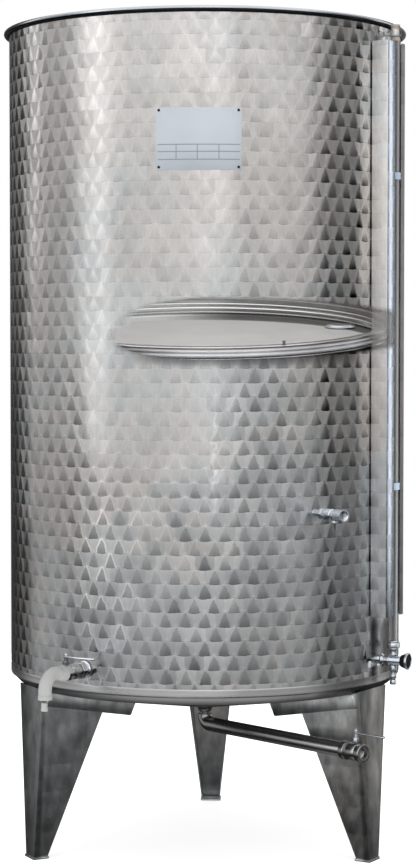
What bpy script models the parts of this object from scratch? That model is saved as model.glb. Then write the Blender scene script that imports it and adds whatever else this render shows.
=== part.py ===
"""A vertical open-top storage tank with a floating lid, on three folded legs.

Metres, +Z up, floor at z = 0. Azimuths are in degrees from the front (-Y) towards +X.
On every spoke, local +X points outwards from the tank's axis, and +Y to a larger azimuth.
"""
import math

import bmesh
import bpy

GAP = 0.0003                # between two pieces that touch
MERGE = 0.00001             # closer points of a turned piece are one
STEPS = 96                  # facets round the tank
LID_STEPS = 72
ROD_EDGE, ROD_EDGE_SHARE = 0.0006, 0.15   # bevel at a rod's ends, at most this share of its radius

# The footprint reaches further at the front, where the tap is, so the tank's axis stands
# this far behind the middle of the footprint.
AXIS_Y = 0.0168

# Shell, rim, band and bottom
TANK_R = 0.460
WALL = 0.003
SHELL_SEGMENTS = 8
BAND_LOW, BAND_HIGH = 0.4087, 0.4277
BAND_PROUD = 0.0012
SHELL_TOP = 1.8972
RIM_R = 0.4725
RIM_HIGH = 1.9075
CHAMFER_R, CHAMFER_Z = 0.440, 0.3908
CONE_SLOPE = 0.179          # fall for each metre towards the axis
SUMP_R = 0.0095             # hole over the drain
RIM_EDGE, BAND_EDGE = 0.0035, 0.0012

# Legs, with the outer face at the given radius
LEG_AZIMUTH, LEG_COUNT = -62.0, 3
LEG_SHEET = 0.003
LEG_TOP_R, LEG_FOOT_R = 0.450, 0.455
LEG_TOP_WIDTH, LEG_FOOT_WIDTH = 0.130, 0.0455
LEG_TOP_DEPTH, LEG_FOOT_DEPTH = 0.1635, 0.034
LEG_FACE_TOP = 0.3962
FOOT_THICK, FOOT_MARGIN, FOOT_BEVEL = 0.006, 0.003, 0.0015
BRACKET_THICK, BRACKET_TALL, BRACKET_CORNER_R = 0.003, 0.031, 0.004
BRACKET_TOP_R = (0.215, 0.432)
BRACKET_LEAN = 0.011        # the lower corners sit this much further out

# Level gauge: guard channel and clear tube
GUARD_AZIMUTH, TUBE_AZIMUTH = 59.5, 62.0
GUARD_SHEET = 0.0015
GUARD_HALF_WIDTH = 0.0447
GUARD_FRONT_X = 0.4992
GUARD_NEAR_LIP_END, GUARD_FAR_LIP_START = -0.0050, 0.0270
GUARD_LOW, GUARD_HIGH = 0.5635, 1.8576
TUBE_X, TUBE_R = 0.4865, 0.0105
TUBE_LOW, TUBE_HIGH = 0.5043, 1.8995
CLIP_Z = {"gauge_clip_low": 0.857, "gauge_clip_high": 1.5594, "gauge_clip_top": 1.880}
CLIP_R, CLIP_TALL = 0.0128, 0.016

# Outlet that feeds the gauge
OUTLET_Z, OUTLET_R = 0.4587, 0.0107
OUTLET_END_X, MOUTH_END_X = 0.5065, 0.5250
MOUTH_R, MOUTH_BORE_R = 0.0190, 0.0155
MOUTH_WALL, MOUTH_THROAT = 0.0035, 0.0060
NUT_R, NUT_TALL, NECK_R = 0.0152, 0.0165, 0.0072
COCK_R, COCK_LOW = 0.0078, 0.4036
COCK_CAP_TALL, COCK_GROOVE_DEEP, COCK_GROOVE_TALL = 0.013, 0.0015, 0.002

# Tap with the white elbow, front left
TAP_AZIMUTH, TAP_Z = -35.6, 0.4605
TAP_STUB_R = 0.0125
TAP_BODY_X, TAP_BODY_R = (0.4680, 0.5290), 0.0180
TAP_RING_LONG, TAP_RING_PROUD, TAP_BODY_EDGE = 0.008, 0.0012, 0.002
TAP_STEM_X, TAP_STEM_R = 0.5235, 0.0055
TAP_LEVER_Z, TAP_LEVER_LONG = 0.4955, 0.0860
ELBOW_X, ELBOW_R, ELBOW_TOP_Z, ELBOW_LOW = 0.5975, 0.0157, 0.4675, 0.4036
ELBOW_LEAD, ELBOW_RISE_LONG = 0.004, 0.026
NOZZLE_R, NOZZLE_LOW = 0.0078, 0.3855

# Sample tap, front right
SAMPLE_AZIMUTH, SAMPLE_Z = 31.9, 0.8090
SAMPLE_STUB_R, SAMPLE_BODY_R, SAMPLE_KNOB_R = 0.0075, 0.0130, 0.0137
SAMPLE_BODY_X, SAMPLE_KNOB_END = (0.4840, 0.5400), 0.5690
SPOUT_X, SPOUT_R, SPOUT_LOW = 0.5330, 0.0043, 0.7743

# Bottom drain
DRAIN_AZIMUTH, DRAIN_Z = 42.0, 0.2750
DRAIN_STUB_R, DRAIN_PIPE_R, DRAIN_BEND_R = 0.0118, 0.01685, 0.020
DRAIN_VALVE_X, DRAIN_VALVE_R, DRAIN_BORE_R = (0.4630, 0.5255), 0.0205, 0.0130
DRAIN_RING_LONG, DRAIN_RING_PROUD, DRAIN_BORE_DEEP, DRAIN_EDGE = 0.024, 0.0008, 0.030, 0.001
DRAIN_PIPE_LEAD = 0.003
DRAIN_STEM_X, DRAIN_STEM_R = 0.5007, 0.0042
DRAIN_LEVER_Z, DRAIN_LEVER_LONG = 0.3185, 0.0930
LEVER_WIDE, LEVER_THICK = 0.011, 0.0035

# Name plate
PLATE_AZIMUTH, PLATE_Z = -1.72, 1.6233
PLATE_WIDE, PLATE_TALL, PLATE_THICK = 0.187, 0.135, 0.0012

# Floating lid, which hangs askew in the shell with its front edge down
LID_Z, LID_TILT = 1.2360, 8.2
LID_R, LID_DEPTH, LID_SHEET = 0.448, 0.045, 0.0028
CHANNEL_R, CHANNEL_DEPTH = 0.4265, 0.028
HOSE_INSET, HOSE_EDGE = 0.002, 0.005
CAP_X, CAP_Y, CAP_R, CAP_TALL = 0.3320, 0.1850, 0.0387, 0.008
AIR_VALVE_X, AIR_VALVE_Y, AIR_VALVE_R, AIR_VALVE_TALL = 0.1733, -0.4000, 0.0045, 0.009

COLOURS = {
    "marbled_steel": ((0.52, 0.51, 0.50), 0.30, 1.0),
    "plain_steel": ((0.60, 0.60, 0.61), 0.28, 1.0),
    "leg_steel": ((0.30, 0.31, 0.31), 0.38, 1.0),
    "polished_steel": ((0.72, 0.73, 0.75), 0.12, 1.0),
    "clear_tube": ((0.72, 0.75, 0.74), 0.15, 0.0),
    "white_plastic": ((0.84, 0.84, 0.82), 0.35, 0.0),
    "pale_rubber": ((0.62, 0.61, 0.58), 0.60, 0.0),
    "plate_metal": ((0.76, 0.82, 0.88), 0.30, 0.4),
}


def clear_scene():
    for obj in list(bpy.data.objects):
        bpy.data.objects.remove(obj, do_unlink=True)


def make_materials():
    made = {}
    for name, (colour, roughness, metallic) in COLOURS.items():
        made[name] = bpy.data.materials.new(name)
        made[name].use_nodes = True
        shader = made[name].node_tree.nodes["Principled BSDF"]
        shader.inputs["Base Color"].default_value = (*colour, 1.0)
        shader.inputs["Roughness"].default_value = roughness
        shader.inputs["Metallic"].default_value = metallic
    return made


def add(name, data, parent, slot, location=(0, 0, 0), rotation=(0, 0, 0)):
    """Put a piece in the tank's collection, on its parent, with its material."""
    obj = bpy.data.objects.new(name, data)
    obj.parent = parent
    obj.location = location
    obj.rotation_euler = [math.radians(angle) for angle in rotation]
    data.materials.append(MATERIALS[slot])
    TANK.objects.link(obj)
    return obj


def add_empty(name, parent=None, location=(0, 0, 0), rotation=(0, 0, 0)):
    empty = bpy.data.objects.new(name, None)
    empty.parent = parent
    empty.location = location
    empty.rotation_euler = [math.radians(angle) for angle in rotation]
    TANK.objects.link(empty)
    return empty


def spoke(name, azimuth):
    return add_empty(name, AXIS, rotation=(0, 0, azimuth - 90))


def mesh_from(name, bm, smooth=True):
    mesh = bpy.data.meshes.new(name)
    bm.to_mesh(mesh)
    bm.free()
    if smooth:
        mesh.shade_smooth()
        mesh.set_sharp_from_angle(angle=math.radians(35))
    return mesh


def profile_mesh(name, points, closed):
    """Edges through (radius, height) points, for a Screw modifier."""
    bm = bmesh.new()
    verts = [bm.verts.new((r, 0.0, z)) for r, z in points]
    for first, second in zip(verts, verts[1:]):
        bm.edges.new((first, second))
    if closed:
        bm.edges.new((verts[-1], verts[0]))
    return mesh_from(name, bm, smooth=False)


def turned(name, points, parent, slot, closed=True, steps=32, angle=360.0, **place):
    """A piece turned about its own Z. The profile runs down its outer side."""
    obj = add(name, profile_mesh(name, points, closed), parent, slot, **place)
    screw = obj.modifiers.new("Turn", "SCREW")
    screw.angle = math.radians(angle)
    screw.steps = screw.render_steps = steps
    screw.use_merge_vertices = True
    screw.merge_threshold = MERGE
    screw.use_smooth_shade = True
    return obj


def rod(name, radius, length, parent, slot, sides=24, **place):
    """A solid rod that runs from its origin up its own Z."""
    half = length / 2
    end = radius - min(ROD_EDGE, radius * ROD_EDGE_SHARE)
    bevel = radius - end
    points = [(0, length), (end, length), (radius, length - bevel), (radius, half),
              (radius, bevel), (end, 0), (0, 0)]
    return turned(name, points, parent, slot, closed=False, steps=sides, **place)


def sheet(name, points, parent, slot, steps, angle, thickness, **place):
    """A curved sheet: an open profile turned part of the way, then thickened inwards."""
    obj = turned(name, points, parent, slot, closed=False, steps=steps, angle=angle, **place)
    solid = obj.modifiers.new("Sheet", "SOLIDIFY")
    solid.thickness = thickness
    solid.offset = -1.0
    return obj


def block(name, low, high, parent, slot, bevel=0.0008, **place):
    bm = bmesh.new()
    bmesh.ops.create_cube(bm, size=1.0)
    for vert in bm.verts:
        vert.co = [a + (b - a) * (c + 0.5) for a, b, c in zip(low, high, vert.co)]
    bmesh.ops.bevel(bm, geom=list(bm.edges), offset=bevel, segments=1, affect="EDGES")
    return add(name, mesh_from(name, bm, smooth=False), parent, slot, **place)


def rounded(corners, radius, points=4):
    """An outline whose corners are turned into arcs of about the given radius."""
    outline = []
    for i, corner in enumerate(corners):
        before, after = corners[i - 1], corners[(i + 1) % len(corners)]
        ends = []
        for other in (before, after):
            span = math.dist(corner, other)
            ends.append([c + (o - c) * radius / span for c, o in zip(corner, other)])
        for step in range(points):
            t = step / (points - 1)
            outline.append([(1 - t) ** 2 * a + 2 * t * (1 - t) * c + t * t * b
                            for a, c, b in zip(ends[0], corner, ends[1])])
    return outline


def curve_data(name, points, cyclic=False, dimensions="3D"):
    data = bpy.data.curves.new(name, "CURVE")
    data.dimensions = dimensions
    spline = data.splines.new("POLY")
    spline.points.add(len(points) - 1)
    for target, point in zip(spline.points, points):
        target.co = (*point, 1.0) if len(point) == 3 else (*point, 0.0, 1.0)
    spline.use_cyclic_u = cyclic
    return data


def flat_plate(name, outline, thickness, parent, slot, **place):
    """A flat outline in its own XY plane, with half its thickness on each side."""
    data = curve_data(name, outline, cyclic=True, dimensions="2D")
    data.fill_mode = "BOTH"
    data.extrude = thickness / 2
    return add(name, data, parent, slot, **place)


def tube(name, points, radius, parent, slot, sides_level=4, **place):
    data = curve_data(name, points)
    data.bevel_depth = radius
    data.bevel_resolution = sides_level
    data.use_fill_caps = True
    return add(name, data, parent, slot, **place)


def cone_z(radius):
    """Height of the bottom's underside inside the chamfer."""
    return CHAMFER_Z - CONE_SLOPE * (CHAMFER_R - radius)


def build_shell():
    gap_angle = math.degrees(GAP / TANK_R)
    sector = 360.0 / SHELL_SEGMENTS
    for number in range(SHELL_SEGMENTS):
        sheet(f"shell_{number + 1}", [(TANK_R, SHELL_TOP), (TANK_R, BAND_HIGH + GAP)],
              AXIS, "marbled_steel", STEPS // SHELL_SEGMENTS, sector - gap_angle, WALL,
              rotation=(0, 0, number * sector - 90))


def build_rim():
    inner, outer = TANK_R - WALL, RIM_R
    low, high = SHELL_TOP + GAP, RIM_HIGH
    edge = RIM_EDGE
    turned("top_rim", [(inner + edge / 2, high), (outer - edge, high), (outer, high - edge),
                       (outer, low + edge), (outer - edge, low), (inner, low),
                       (inner, high - edge / 2)],
           AXIS, "plain_steel", steps=STEPS)


def build_band():
    inner, outer = TANK_R - WALL / 2, TANK_R + BAND_PROUD
    edge = BAND_EDGE
    turned("bottom_band", [(inner, BAND_HIGH), (outer - edge, BAND_HIGH),
                           (outer, BAND_HIGH - edge), (outer, BAND_LOW + edge),
                           (outer - edge, BAND_LOW), (inner, BAND_LOW)],
           AXIS, "plain_steel", steps=STEPS)


def build_bottom():
    under = BAND_LOW - GAP
    lip = TANK_R - WALL / 2 - GAP
    turned("tank_bottom", [(lip - WALL, under + WALL), (lip, under + WALL), (lip, under),
                           (CHAMFER_R, CHAMFER_Z), (SUMP_R, cone_z(SUMP_R)),
                           (SUMP_R, cone_z(SUMP_R) + WALL),
                           (CHAMFER_R - WALL / 2, CHAMFER_Z + WALL)],
           AXIS, "plain_steel", steps=STEPS)


def leg_half_width(z):
    """Half the leg's width at a height, measured on the outside of its flanks."""
    lean = (LEG_TOP_WIDTH - LEG_FOOT_WIDTH) / 2 / LEG_FACE_TOP
    return LEG_FOOT_WIDTH / 2 + lean * z


def leg_mesh(name):
    """A grid of six columns, folded into a channel that opens towards the axis."""
    knee_r = math.sqrt(CHAMFER_R ** 2 - (LEG_TOP_WIDTH / 2) ** 2) - GAP
    inner_r = LEG_TOP_R - LEG_TOP_DEPTH
    seat = [cone_z(math.hypot(r, LEG_TOP_WIDTH / 2)) - 2 * GAP for r in (knee_r, inner_r)]
    knee_share = (LEG_TOP_R - knee_r) / LEG_TOP_DEPTH
    side = [(LEG_TOP_R, LEG_FACE_TOP, LEG_FOOT_R),
            (knee_r, seat[0], LEG_FOOT_R - LEG_FOOT_DEPTH * knee_share),
            (inner_r, seat[1], LEG_FOOT_R - LEG_FOOT_DEPTH)]
    columns = [(-1, *place) for place in reversed(side)] + [(1, *place) for place in side]
    bm = bmesh.new()
    bmesh.ops.create_grid(bm, x_segments=len(columns) - 1, y_segments=1, size=0.5)
    foot_z = FOOT_THICK + GAP
    for vert in bm.verts:
        sign, top_x, top_z, foot_x = columns[round((vert.co.x + 0.5) * (len(columns) - 1))]
        x, z = (top_x, top_z) if vert.co.y > 0 else (foot_x, foot_z)
        vert.co = (x, sign * leg_half_width(z), z)
    return mesh_from(name, bm, smooth=False)


def build_leg(number):
    frame = spoke(f"leg_spoke_{number}", LEG_AZIMUTH + (number - 1) * 360.0 / LEG_COUNT)
    leg = add(f"leg_{number}", leg_mesh(f"leg_{number}"), frame, "leg_steel")
    solid = leg.modifiers.new("Sheet", "SOLIDIFY")
    solid.thickness = LEG_SHEET
    solid.offset = -1.0
    solid.use_even_offset = True

    half = LEG_FOOT_WIDTH / 2 + FOOT_MARGIN
    block(f"foot_{number}", (LEG_FOOT_R - LEG_FOOT_DEPTH - FOOT_MARGIN, -half, 0.0),
          (LEG_FOOT_R + FOOT_MARGIN, half, FOOT_THICK), frame, "leg_steel", bevel=FOOT_BEVEL)

    for sign, side in ((-1, "a"), (1, "b")):
        build_bracket(f"leg_{number}_bracket_{side}", frame, sign)


def build_bracket(name, frame, sign):
    """A strip along the top of a flank, whose upper edge follows the cone of the bottom."""
    lean = math.atan((LEG_TOP_WIDTH - LEG_FOOT_WIDTH) / 2 / LEG_FACE_TOP)
    outer_y = leg_half_width(CHAMFER_Z) + BRACKET_THICK + 2 * GAP
    tops = [(r, cone_z(math.hypot(r, outer_y)) - 3 * GAP) for r in BRACKET_TOP_R]
    corners = [(r, z / math.cos(lean)) for r, z in tops]
    corners += [(r + BRACKET_LEAN, (z - BRACKET_TALL) / math.cos(lean))
                for r, z in reversed(tops)]
    outline = rounded(corners, BRACKET_CORNER_R)
    away = GAP + BRACKET_THICK / 2
    flat_plate(name, outline, BRACKET_THICK, frame, "leg_steel",
               location=(0, sign * (LEG_FOOT_WIDTH / 2 + away * math.cos(lean)),
                         -away * math.sin(lean)),
               rotation=(90 - sign * math.degrees(lean), 0, 0))


def build_guard():
    """A lipped channel that stands on the shell and shields the clear tube."""
    frame = spoke("guard_spoke", GUARD_AZIMUTH)
    half = GUARD_HALF_WIDTH - GUARD_SHEET / 2
    back = TANK_R + GAP + GUARD_SHEET / 2
    front = GUARD_FRONT_X - GUARD_SHEET / 2
    path = [(front, GUARD_NEAR_LIP_END), (front, -half), (back, -half), (back, half),
            (front, half), (front, GUARD_FAR_LIP_START)]
    data = curve_data("gauge_guard", path)
    data.extrude = (GUARD_HIGH - GUARD_LOW) / 2
    guard = add("gauge_guard", data, frame, "marbled_steel",
                location=(0, 0, (GUARD_HIGH + GUARD_LOW) / 2))
    solid = guard.modifiers.new("Sheet", "SOLIDIFY")
    solid.thickness = GUARD_SHEET
    solid.offset = 0.0
    solid.use_even_offset = True


def build_gauge():
    frame = spoke("gauge_spoke", TUBE_AZIMUTH)
    rod("gauge_tube", TUBE_R, TUBE_HIGH - TUBE_LOW, frame, "clear_tube",
        location=(TUBE_X, 0, TUBE_LOW))
    nut_low = TUBE_LOW - GAP - NUT_TALL
    rod("gauge_nut", NUT_R, NUT_TALL, frame, "polished_steel", sides=12,
        location=(TUBE_X, 0, nut_low))
    neck_low = OUTLET_Z + OUTLET_R + GAP
    rod("gauge_neck", NECK_R, nut_low - GAP - neck_low, frame, "polished_steel",
        location=(TUBE_X, 0, neck_low))
    for name, z in CLIP_Z.items():
        build_clip(name, frame, z)


def build_clip(name, frame, z):
    """A collar round the tube, open at the back like a spring clip."""
    inner, outer = TUBE_R + GAP, CLIP_R
    half = CLIP_TALL / 2
    turned(name, [(outer, half), (outer, -half), (inner, -half), (inner, half)],
           frame, "plate_metal", steps=24, location=(TUBE_X, 0, z))


def build_outlet():
    frame = spoke("outlet_spoke", TUBE_AZIMUTH)
    start = TANK_R + GAP
    across = {"rotation": (0, 90, 0)}
    rod("outlet_pipe", OUTLET_R, OUTLET_END_X - start, frame, "polished_steel",
        location=(start, 0, OUTLET_Z), **across)
    long = MOUTH_END_X - OUTLET_END_X - GAP
    neck_r, throat = OUTLET_R + MOUTH_WALL, MOUTH_THROAT
    turned("outlet_mouth",
           [(0, throat), (MOUTH_BORE_R, throat), (MOUTH_BORE_R, long), (MOUTH_R, long),
            (MOUTH_R, throat), (neck_r, throat / 2), (neck_r, 0), (0, 0)],
           frame, "polished_steel", closed=False,
           location=(OUTLET_END_X + GAP, 0, OUTLET_Z), **across)
    long = OUTLET_Z - OUTLET_R - GAP - COCK_LOW
    waist_r, waist_low = COCK_R - COCK_GROOVE_DEEP, COCK_CAP_TALL
    waist_high = waist_low + COCK_GROOVE_TALL
    turned("gauge_cock",
           [(0, long), (COCK_R, long), (COCK_R, waist_high + COCK_GROOVE_DEEP),
            (waist_r, waist_high), (waist_r, waist_low),
            (COCK_R, waist_low - COCK_GROOVE_DEEP), (COCK_R, 0), (0, 0)],
           frame, "polished_steel", closed=False, steps=12, location=(TUBE_X, 0, COCK_LOW))


def build_tap():
    frame = spoke("tap_spoke", TAP_AZIMUTH)
    start, end = TAP_BODY_X
    rod("tap_stub", TAP_STUB_R, start - TANK_R - 2 * GAP, frame, "polished_steel",
        location=(TANK_R + GAP, 0, TAP_Z), rotation=(0, 90, 0))
    long, edge, ring = end - start, TAP_BODY_EDGE, TAP_RING_LONG
    ring_r = TAP_BODY_R + TAP_RING_PROUD
    turned("tap_body",
           [(0, long), (TAP_BODY_R - edge, long), (TAP_BODY_R, long - edge),
            (TAP_BODY_R, long / 2), (TAP_BODY_R, ring), (ring_r, ring), (ring_r, 0), (0, 0)],
           frame, "polished_steel", closed=False,
           location=(start, 0, TAP_Z), rotation=(0, 90, 0))
    build_elbow(frame, end + GAP)
    rod("tap_nozzle", NOZZLE_R, ELBOW_LOW - GAP - NOZZLE_LOW, frame, "white_plastic",
        sides=16, location=(ELBOW_X, 0, NOZZLE_LOW))
    hinge = add_empty("tap_lever_hinge", frame, location=(TAP_STEM_X, 0, TAP_Z))
    build_handle("tap", hinge, TAP_BODY_R, TAP_STEM_R, TAP_LEVER_Z - TAP_Z,
                 TAP_LEVER_LONG, 90)


def build_elbow(frame, start):
    """The white spout: out of the tap, over a short hump and straight down."""
    rise_start = start + ELBOW_LEAD
    bend = ELBOW_X - (rise_start + ELBOW_RISE_LONG)
    hump = ELBOW_TOP_Z - TAP_Z
    points = [(start, 0, TAP_Z)]
    for share in (0.0, 0.25, 0.5, 0.75):
        rise = (1 - math.cos(share * math.pi)) / 2
        points.append((rise_start + ELBOW_RISE_LONG * share, 0, TAP_Z + hump * rise))
    for step in range(9):
        turn = math.radians(90 * step / 8)
        points.append((ELBOW_X - bend * (1 - math.sin(turn)), 0,
                       ELBOW_TOP_Z - bend * (1 - math.cos(turn))))
    points.append((ELBOW_X, 0, ELBOW_LOW))
    tube("tap_elbow", points, ELBOW_R, frame, "white_plastic")


def build_handle(prefix, hinge, body_r, stem_r, lever_z, long, turn):
    """A stem on its hinge axis, and a flat lever that runs from it along the hinge's X."""
    base = body_r + GAP
    rod(f"{prefix}_stem", stem_r, lever_z - LEVER_THICK / 2 - GAP - base, hinge,
        "polished_steel", sides=12, location=(0, 0, base))
    half = LEVER_WIDE / 2
    block(f"{prefix}_lever", (-half, -half, lever_z - LEVER_THICK / 2),
          (long - half, half, lever_z + LEVER_THICK / 2), hinge, "polished_steel",
          rotation=(0, 0, turn))


def build_sample_tap():
    frame = spoke("sample_spoke", SAMPLE_AZIMUTH)
    start, end = SAMPLE_BODY_X
    across = {"rotation": (0, 90, 0)}
    rod("sample_stub", SAMPLE_STUB_R, start - TANK_R - 2 * GAP, frame, "polished_steel",
        sides=16, location=(TANK_R + GAP, 0, SAMPLE_Z), **across)
    rod("sample_body", SAMPLE_BODY_R, end - start, frame, "polished_steel",
        location=(start, 0, SAMPLE_Z), **across)
    rod("sample_knob", SAMPLE_KNOB_R, SAMPLE_KNOB_END - end - GAP, frame, "polished_steel",
        location=(end + GAP, 0, SAMPLE_Z), **across)
    rod("sample_spout", SPOUT_R, SAMPLE_Z - SAMPLE_BODY_R - GAP - SPOUT_LOW, frame,
        "polished_steel", sides=12, location=(SPOUT_X, 0, SPOUT_LOW))


def build_drain():
    frame = spoke("drain_spoke", DRAIN_AZIMUTH)
    start, end = DRAIN_VALVE_X
    bend_top = DRAIN_Z + DRAIN_BEND_R
    pipe_top = bend_top + DRAIN_PIPE_LEAD
    rod("drain_stub", DRAIN_STUB_R, cone_z(SUMP_R) - GAP - pipe_top, frame,
        "polished_steel", location=(0, 0, pipe_top + GAP))
    points = [(0, 0, pipe_top)]
    for step in range(7):
        turn = math.radians(90 * step / 6)
        points.append((DRAIN_BEND_R * (1 - math.cos(turn)), 0,
                       bend_top - DRAIN_BEND_R * math.sin(turn)))
    points.append((start - GAP, 0, DRAIN_Z))
    tube("drain_pipe", points, DRAIN_PIPE_R, frame, "plain_steel")

    long, ring, edge = end - start, DRAIN_RING_LONG, DRAIN_EDGE
    body, ring_r, throat = DRAIN_VALVE_R, DRAIN_VALVE_R + DRAIN_RING_PROUD, long - DRAIN_BORE_DEEP
    turned("drain_valve",
           [(0, throat), (DRAIN_BORE_R, throat), (DRAIN_BORE_R, long), (body - edge, long),
            (body, long - edge), (body, ring), (ring_r, ring - edge), (ring_r, 0), (0, 0)],
           frame, "polished_steel", closed=False,
           location=(start, 0, DRAIN_Z), rotation=(0, 90, 0))
    hinge = add_empty("drain_lever_hinge", frame, location=(DRAIN_STEM_X, 0, DRAIN_Z))
    build_handle("drain", hinge, DRAIN_VALVE_R, DRAIN_STEM_R, DRAIN_LEVER_Z - DRAIN_Z,
                 DRAIN_LEVER_LONG, 0)


def build_name_plate():
    radius = TANK_R + GAP + PLATE_THICK
    angle = math.degrees(PLATE_WIDE / radius)
    frame = spoke("plate_spoke", PLATE_AZIMUTH)
    sheet("name_plate", [(radius, PLATE_Z + PLATE_TALL / 2), (radius, PLATE_Z - PLATE_TALL / 2)],
          frame, "plate_metal", 12, angle, PLATE_THICK - GAP, rotation=(0, 0, -angle / 2))


def build_lid():
    """A flat pan below a channel that opens outwards, a hose, a filler cap and an air valve."""
    lid = add_empty("lid_frame", AXIS, location=(0, 0, LID_Z), rotation=(LID_TILT, 0, 0))
    t, depth = LID_SHEET, LID_DEPTH
    floor, channel_back, shelf = t - depth, CHANNEL_R - t, t - CHANNEL_DEPTH
    pan_r = channel_back - GAP
    turned("lid_pan", [(0, floor), (pan_r, floor), (pan_r, -depth), (0, -depth)],
           lid, "plain_steel", closed=False, steps=LID_STEPS)
    turned("lid_channel",
           [(channel_back, 0), (LID_R, 0), (LID_R, -t), (CHANNEL_R, -t), (CHANNEL_R, shelf),
            (LID_R, shelf), (LID_R, shelf - t), (CHANNEL_R, shelf - t), (CHANNEL_R, -depth),
            (channel_back, -depth)],
           lid, "plain_steel", steps=LID_STEPS)
    inner, outer = CHANNEL_R + GAP, LID_R - HOSE_INSET
    high, low, edge = -t - GAP, shelf + GAP, HOSE_EDGE
    turned("lid_hose",
           [(inner + edge, high), (outer - edge, high), (outer, high - edge),
            (outer, low + edge), (outer - edge, low), (inner + edge, low),
            (inner, low + edge), (inner, high - edge)],
           lid, "pale_rubber", steps=LID_STEPS)
    rod("lid_cap", CAP_R, CAP_TALL, lid, "plain_steel", location=(CAP_X, CAP_Y, floor + GAP))
    rod("lid_air_valve", AIR_VALVE_R, AIR_VALVE_TALL, lid, "polished_steel", sides=12,
        location=(AIR_VALVE_X, AIR_VALVE_Y, GAP))


clear_scene()
MATERIALS = make_materials()
TANK = bpy.data.collections.new("storage_tank")
bpy.context.scene.collection.children.link(TANK)
AXIS = add_empty("tank_axis", location=(0, AXIS_Y, 0))

build_shell()
build_rim()
build_band()
build_bottom()
for leg_number in range(1, LEG_COUNT + 1):
    build_leg(leg_number)
build_guard()
build_gauge()
build_outlet()
build_tap()
build_sample_tap()
build_drain()
build_name_plate()
build_lid()
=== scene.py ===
import math

import bmesh
import bpy
from mathutils import Matrix, Vector


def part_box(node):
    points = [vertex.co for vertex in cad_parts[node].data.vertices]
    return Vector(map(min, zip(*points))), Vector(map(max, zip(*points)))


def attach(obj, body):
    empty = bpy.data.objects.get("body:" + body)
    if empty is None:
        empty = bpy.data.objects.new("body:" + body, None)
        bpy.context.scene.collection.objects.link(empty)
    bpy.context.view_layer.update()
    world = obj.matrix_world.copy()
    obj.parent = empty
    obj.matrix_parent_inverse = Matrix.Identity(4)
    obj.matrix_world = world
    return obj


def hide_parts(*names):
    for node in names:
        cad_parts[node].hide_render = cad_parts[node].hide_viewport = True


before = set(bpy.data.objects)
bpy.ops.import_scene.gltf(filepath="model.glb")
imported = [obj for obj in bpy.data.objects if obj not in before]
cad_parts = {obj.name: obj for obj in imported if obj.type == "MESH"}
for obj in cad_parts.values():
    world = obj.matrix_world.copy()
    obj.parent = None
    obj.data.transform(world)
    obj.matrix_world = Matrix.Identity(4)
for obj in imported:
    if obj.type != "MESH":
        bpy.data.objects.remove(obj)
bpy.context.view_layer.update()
print("frame loaded, nodes:", len(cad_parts))

merge = 0.00002             # closer points of one piece are the same point
smoothAngle = 35
gap = 0.0003                # between neighbouring pieces

rimLow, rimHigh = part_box("top_rim")
axisY = (rimLow.y + rimHigh.y) / 2          # the tank's own axis
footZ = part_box("foot_1")[0].z
onAxis = Matrix.Translation((0, axisY, 0))

# The tank itself. Azimuths are in degrees from the front, towards the right.
tank = {
    "radius": 0.460,
    "sheet": 0.0015,
    "wallLow": 0.4270,
    "wallHigh": 1.8985,
    "facets": 240,
    "seamAzimuth": -86.6,
    "seamWide": 0.0050,
    "seamProud": 0.0005,
    "seamShort": 0.002,
}


# Placing

def spoke(azimuth, x=0.0, z=0.0):
    turn = Matrix.Rotation(math.radians(azimuth - 90), 4, "Z")
    return onAxis @ turn @ Matrix.Translation((x, 0, z))


def outward(azimuth, z):     # a piece's own Z points away from the tank's axis
    return spoke(azimuth, z=z) @ Matrix.Rotation(math.radians(90), 4, "Y")


def deselectAll():
    if bpy.context.mode != "OBJECT":
        bpy.ops.object.mode_set(mode="OBJECT")
    bpy.ops.object.select_all(action="DESELECT")


def editAll():
    bpy.ops.object.mode_set(mode="EDIT")
    bpy.ops.mesh.select_mode(type="VERT")
    bpy.ops.mesh.select_all(action="SELECT")


def faceOutwards():          # and leave edit mode
    bpy.ops.mesh.select_all(action="SELECT")
    bpy.ops.mesh.normals_make_consistent(inside=False)
    bpy.ops.object.mode_set(mode="OBJECT")


def only(piece):
    deselectAll()
    piece.select_set(True)
    bpy.context.view_layer.objects.active = piece


def settle():
    bpy.ops.object.transform_apply(location=True, rotation=True, scale=True)
    return bpy.context.object


def place(piece, matrix):
    only(piece)
    piece.matrix_world = matrix @ piece.matrix_world
    return settle()


def join(pieces, name):
    only(pieces[0])
    for piece in pieces[1:]:
        piece.select_set(True)
    bpy.ops.object.join()
    pieces[0].name = name
    return pieces[0]


def twin(piece, name):
    made = piece.copy()
    made.data = piece.data.copy()
    made.name = name
    bpy.context.scene.collection.objects.link(made)
    return made


def finishMesh(piece, name, rounding=0.0, segments=2, angle=smoothAngle):
    only(piece)
    piece.name = name
    if rounding:
        bevel = piece.modifiers.new("Rounding", "BEVEL")
        bevel.width = rounding
        bevel.segments = segments
        bevel.limit_method = "ANGLE"
        bevel.angle_limit = math.radians(30)
        bpy.ops.object.modifier_apply(modifier=bevel.name)
    bpy.ops.object.shade_smooth_by_angle(angle=math.radians(angle))
    return piece


def show(piece, slot, look, *replaced, body="tank"):
    piece.data.materials.clear()
    piece.data.materials.append(looks[look])
    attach(piece, body)
    if replaced:
        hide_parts(*replaced)


def pieceName(node):         # tap_stub becomes tapStub
    first, *others = node.split("_")
    return first + "".join(word.title() for word in others)


def fit(node, at, slot, look, stations, sides=48, body="tank", **shape):
    # A turned piece that stands for a CAD node and is named after it
    piece = turned(pieceName(node), stations, sides, **shape)
    show(place(piece, at), slot, look, node, body=body)


def fitSteel(node, at, stations, sides=48, look="polished", **shape):
    fit(node, at, "polished_steel", look, stations, sides, **shape)


# Modelling

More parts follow.
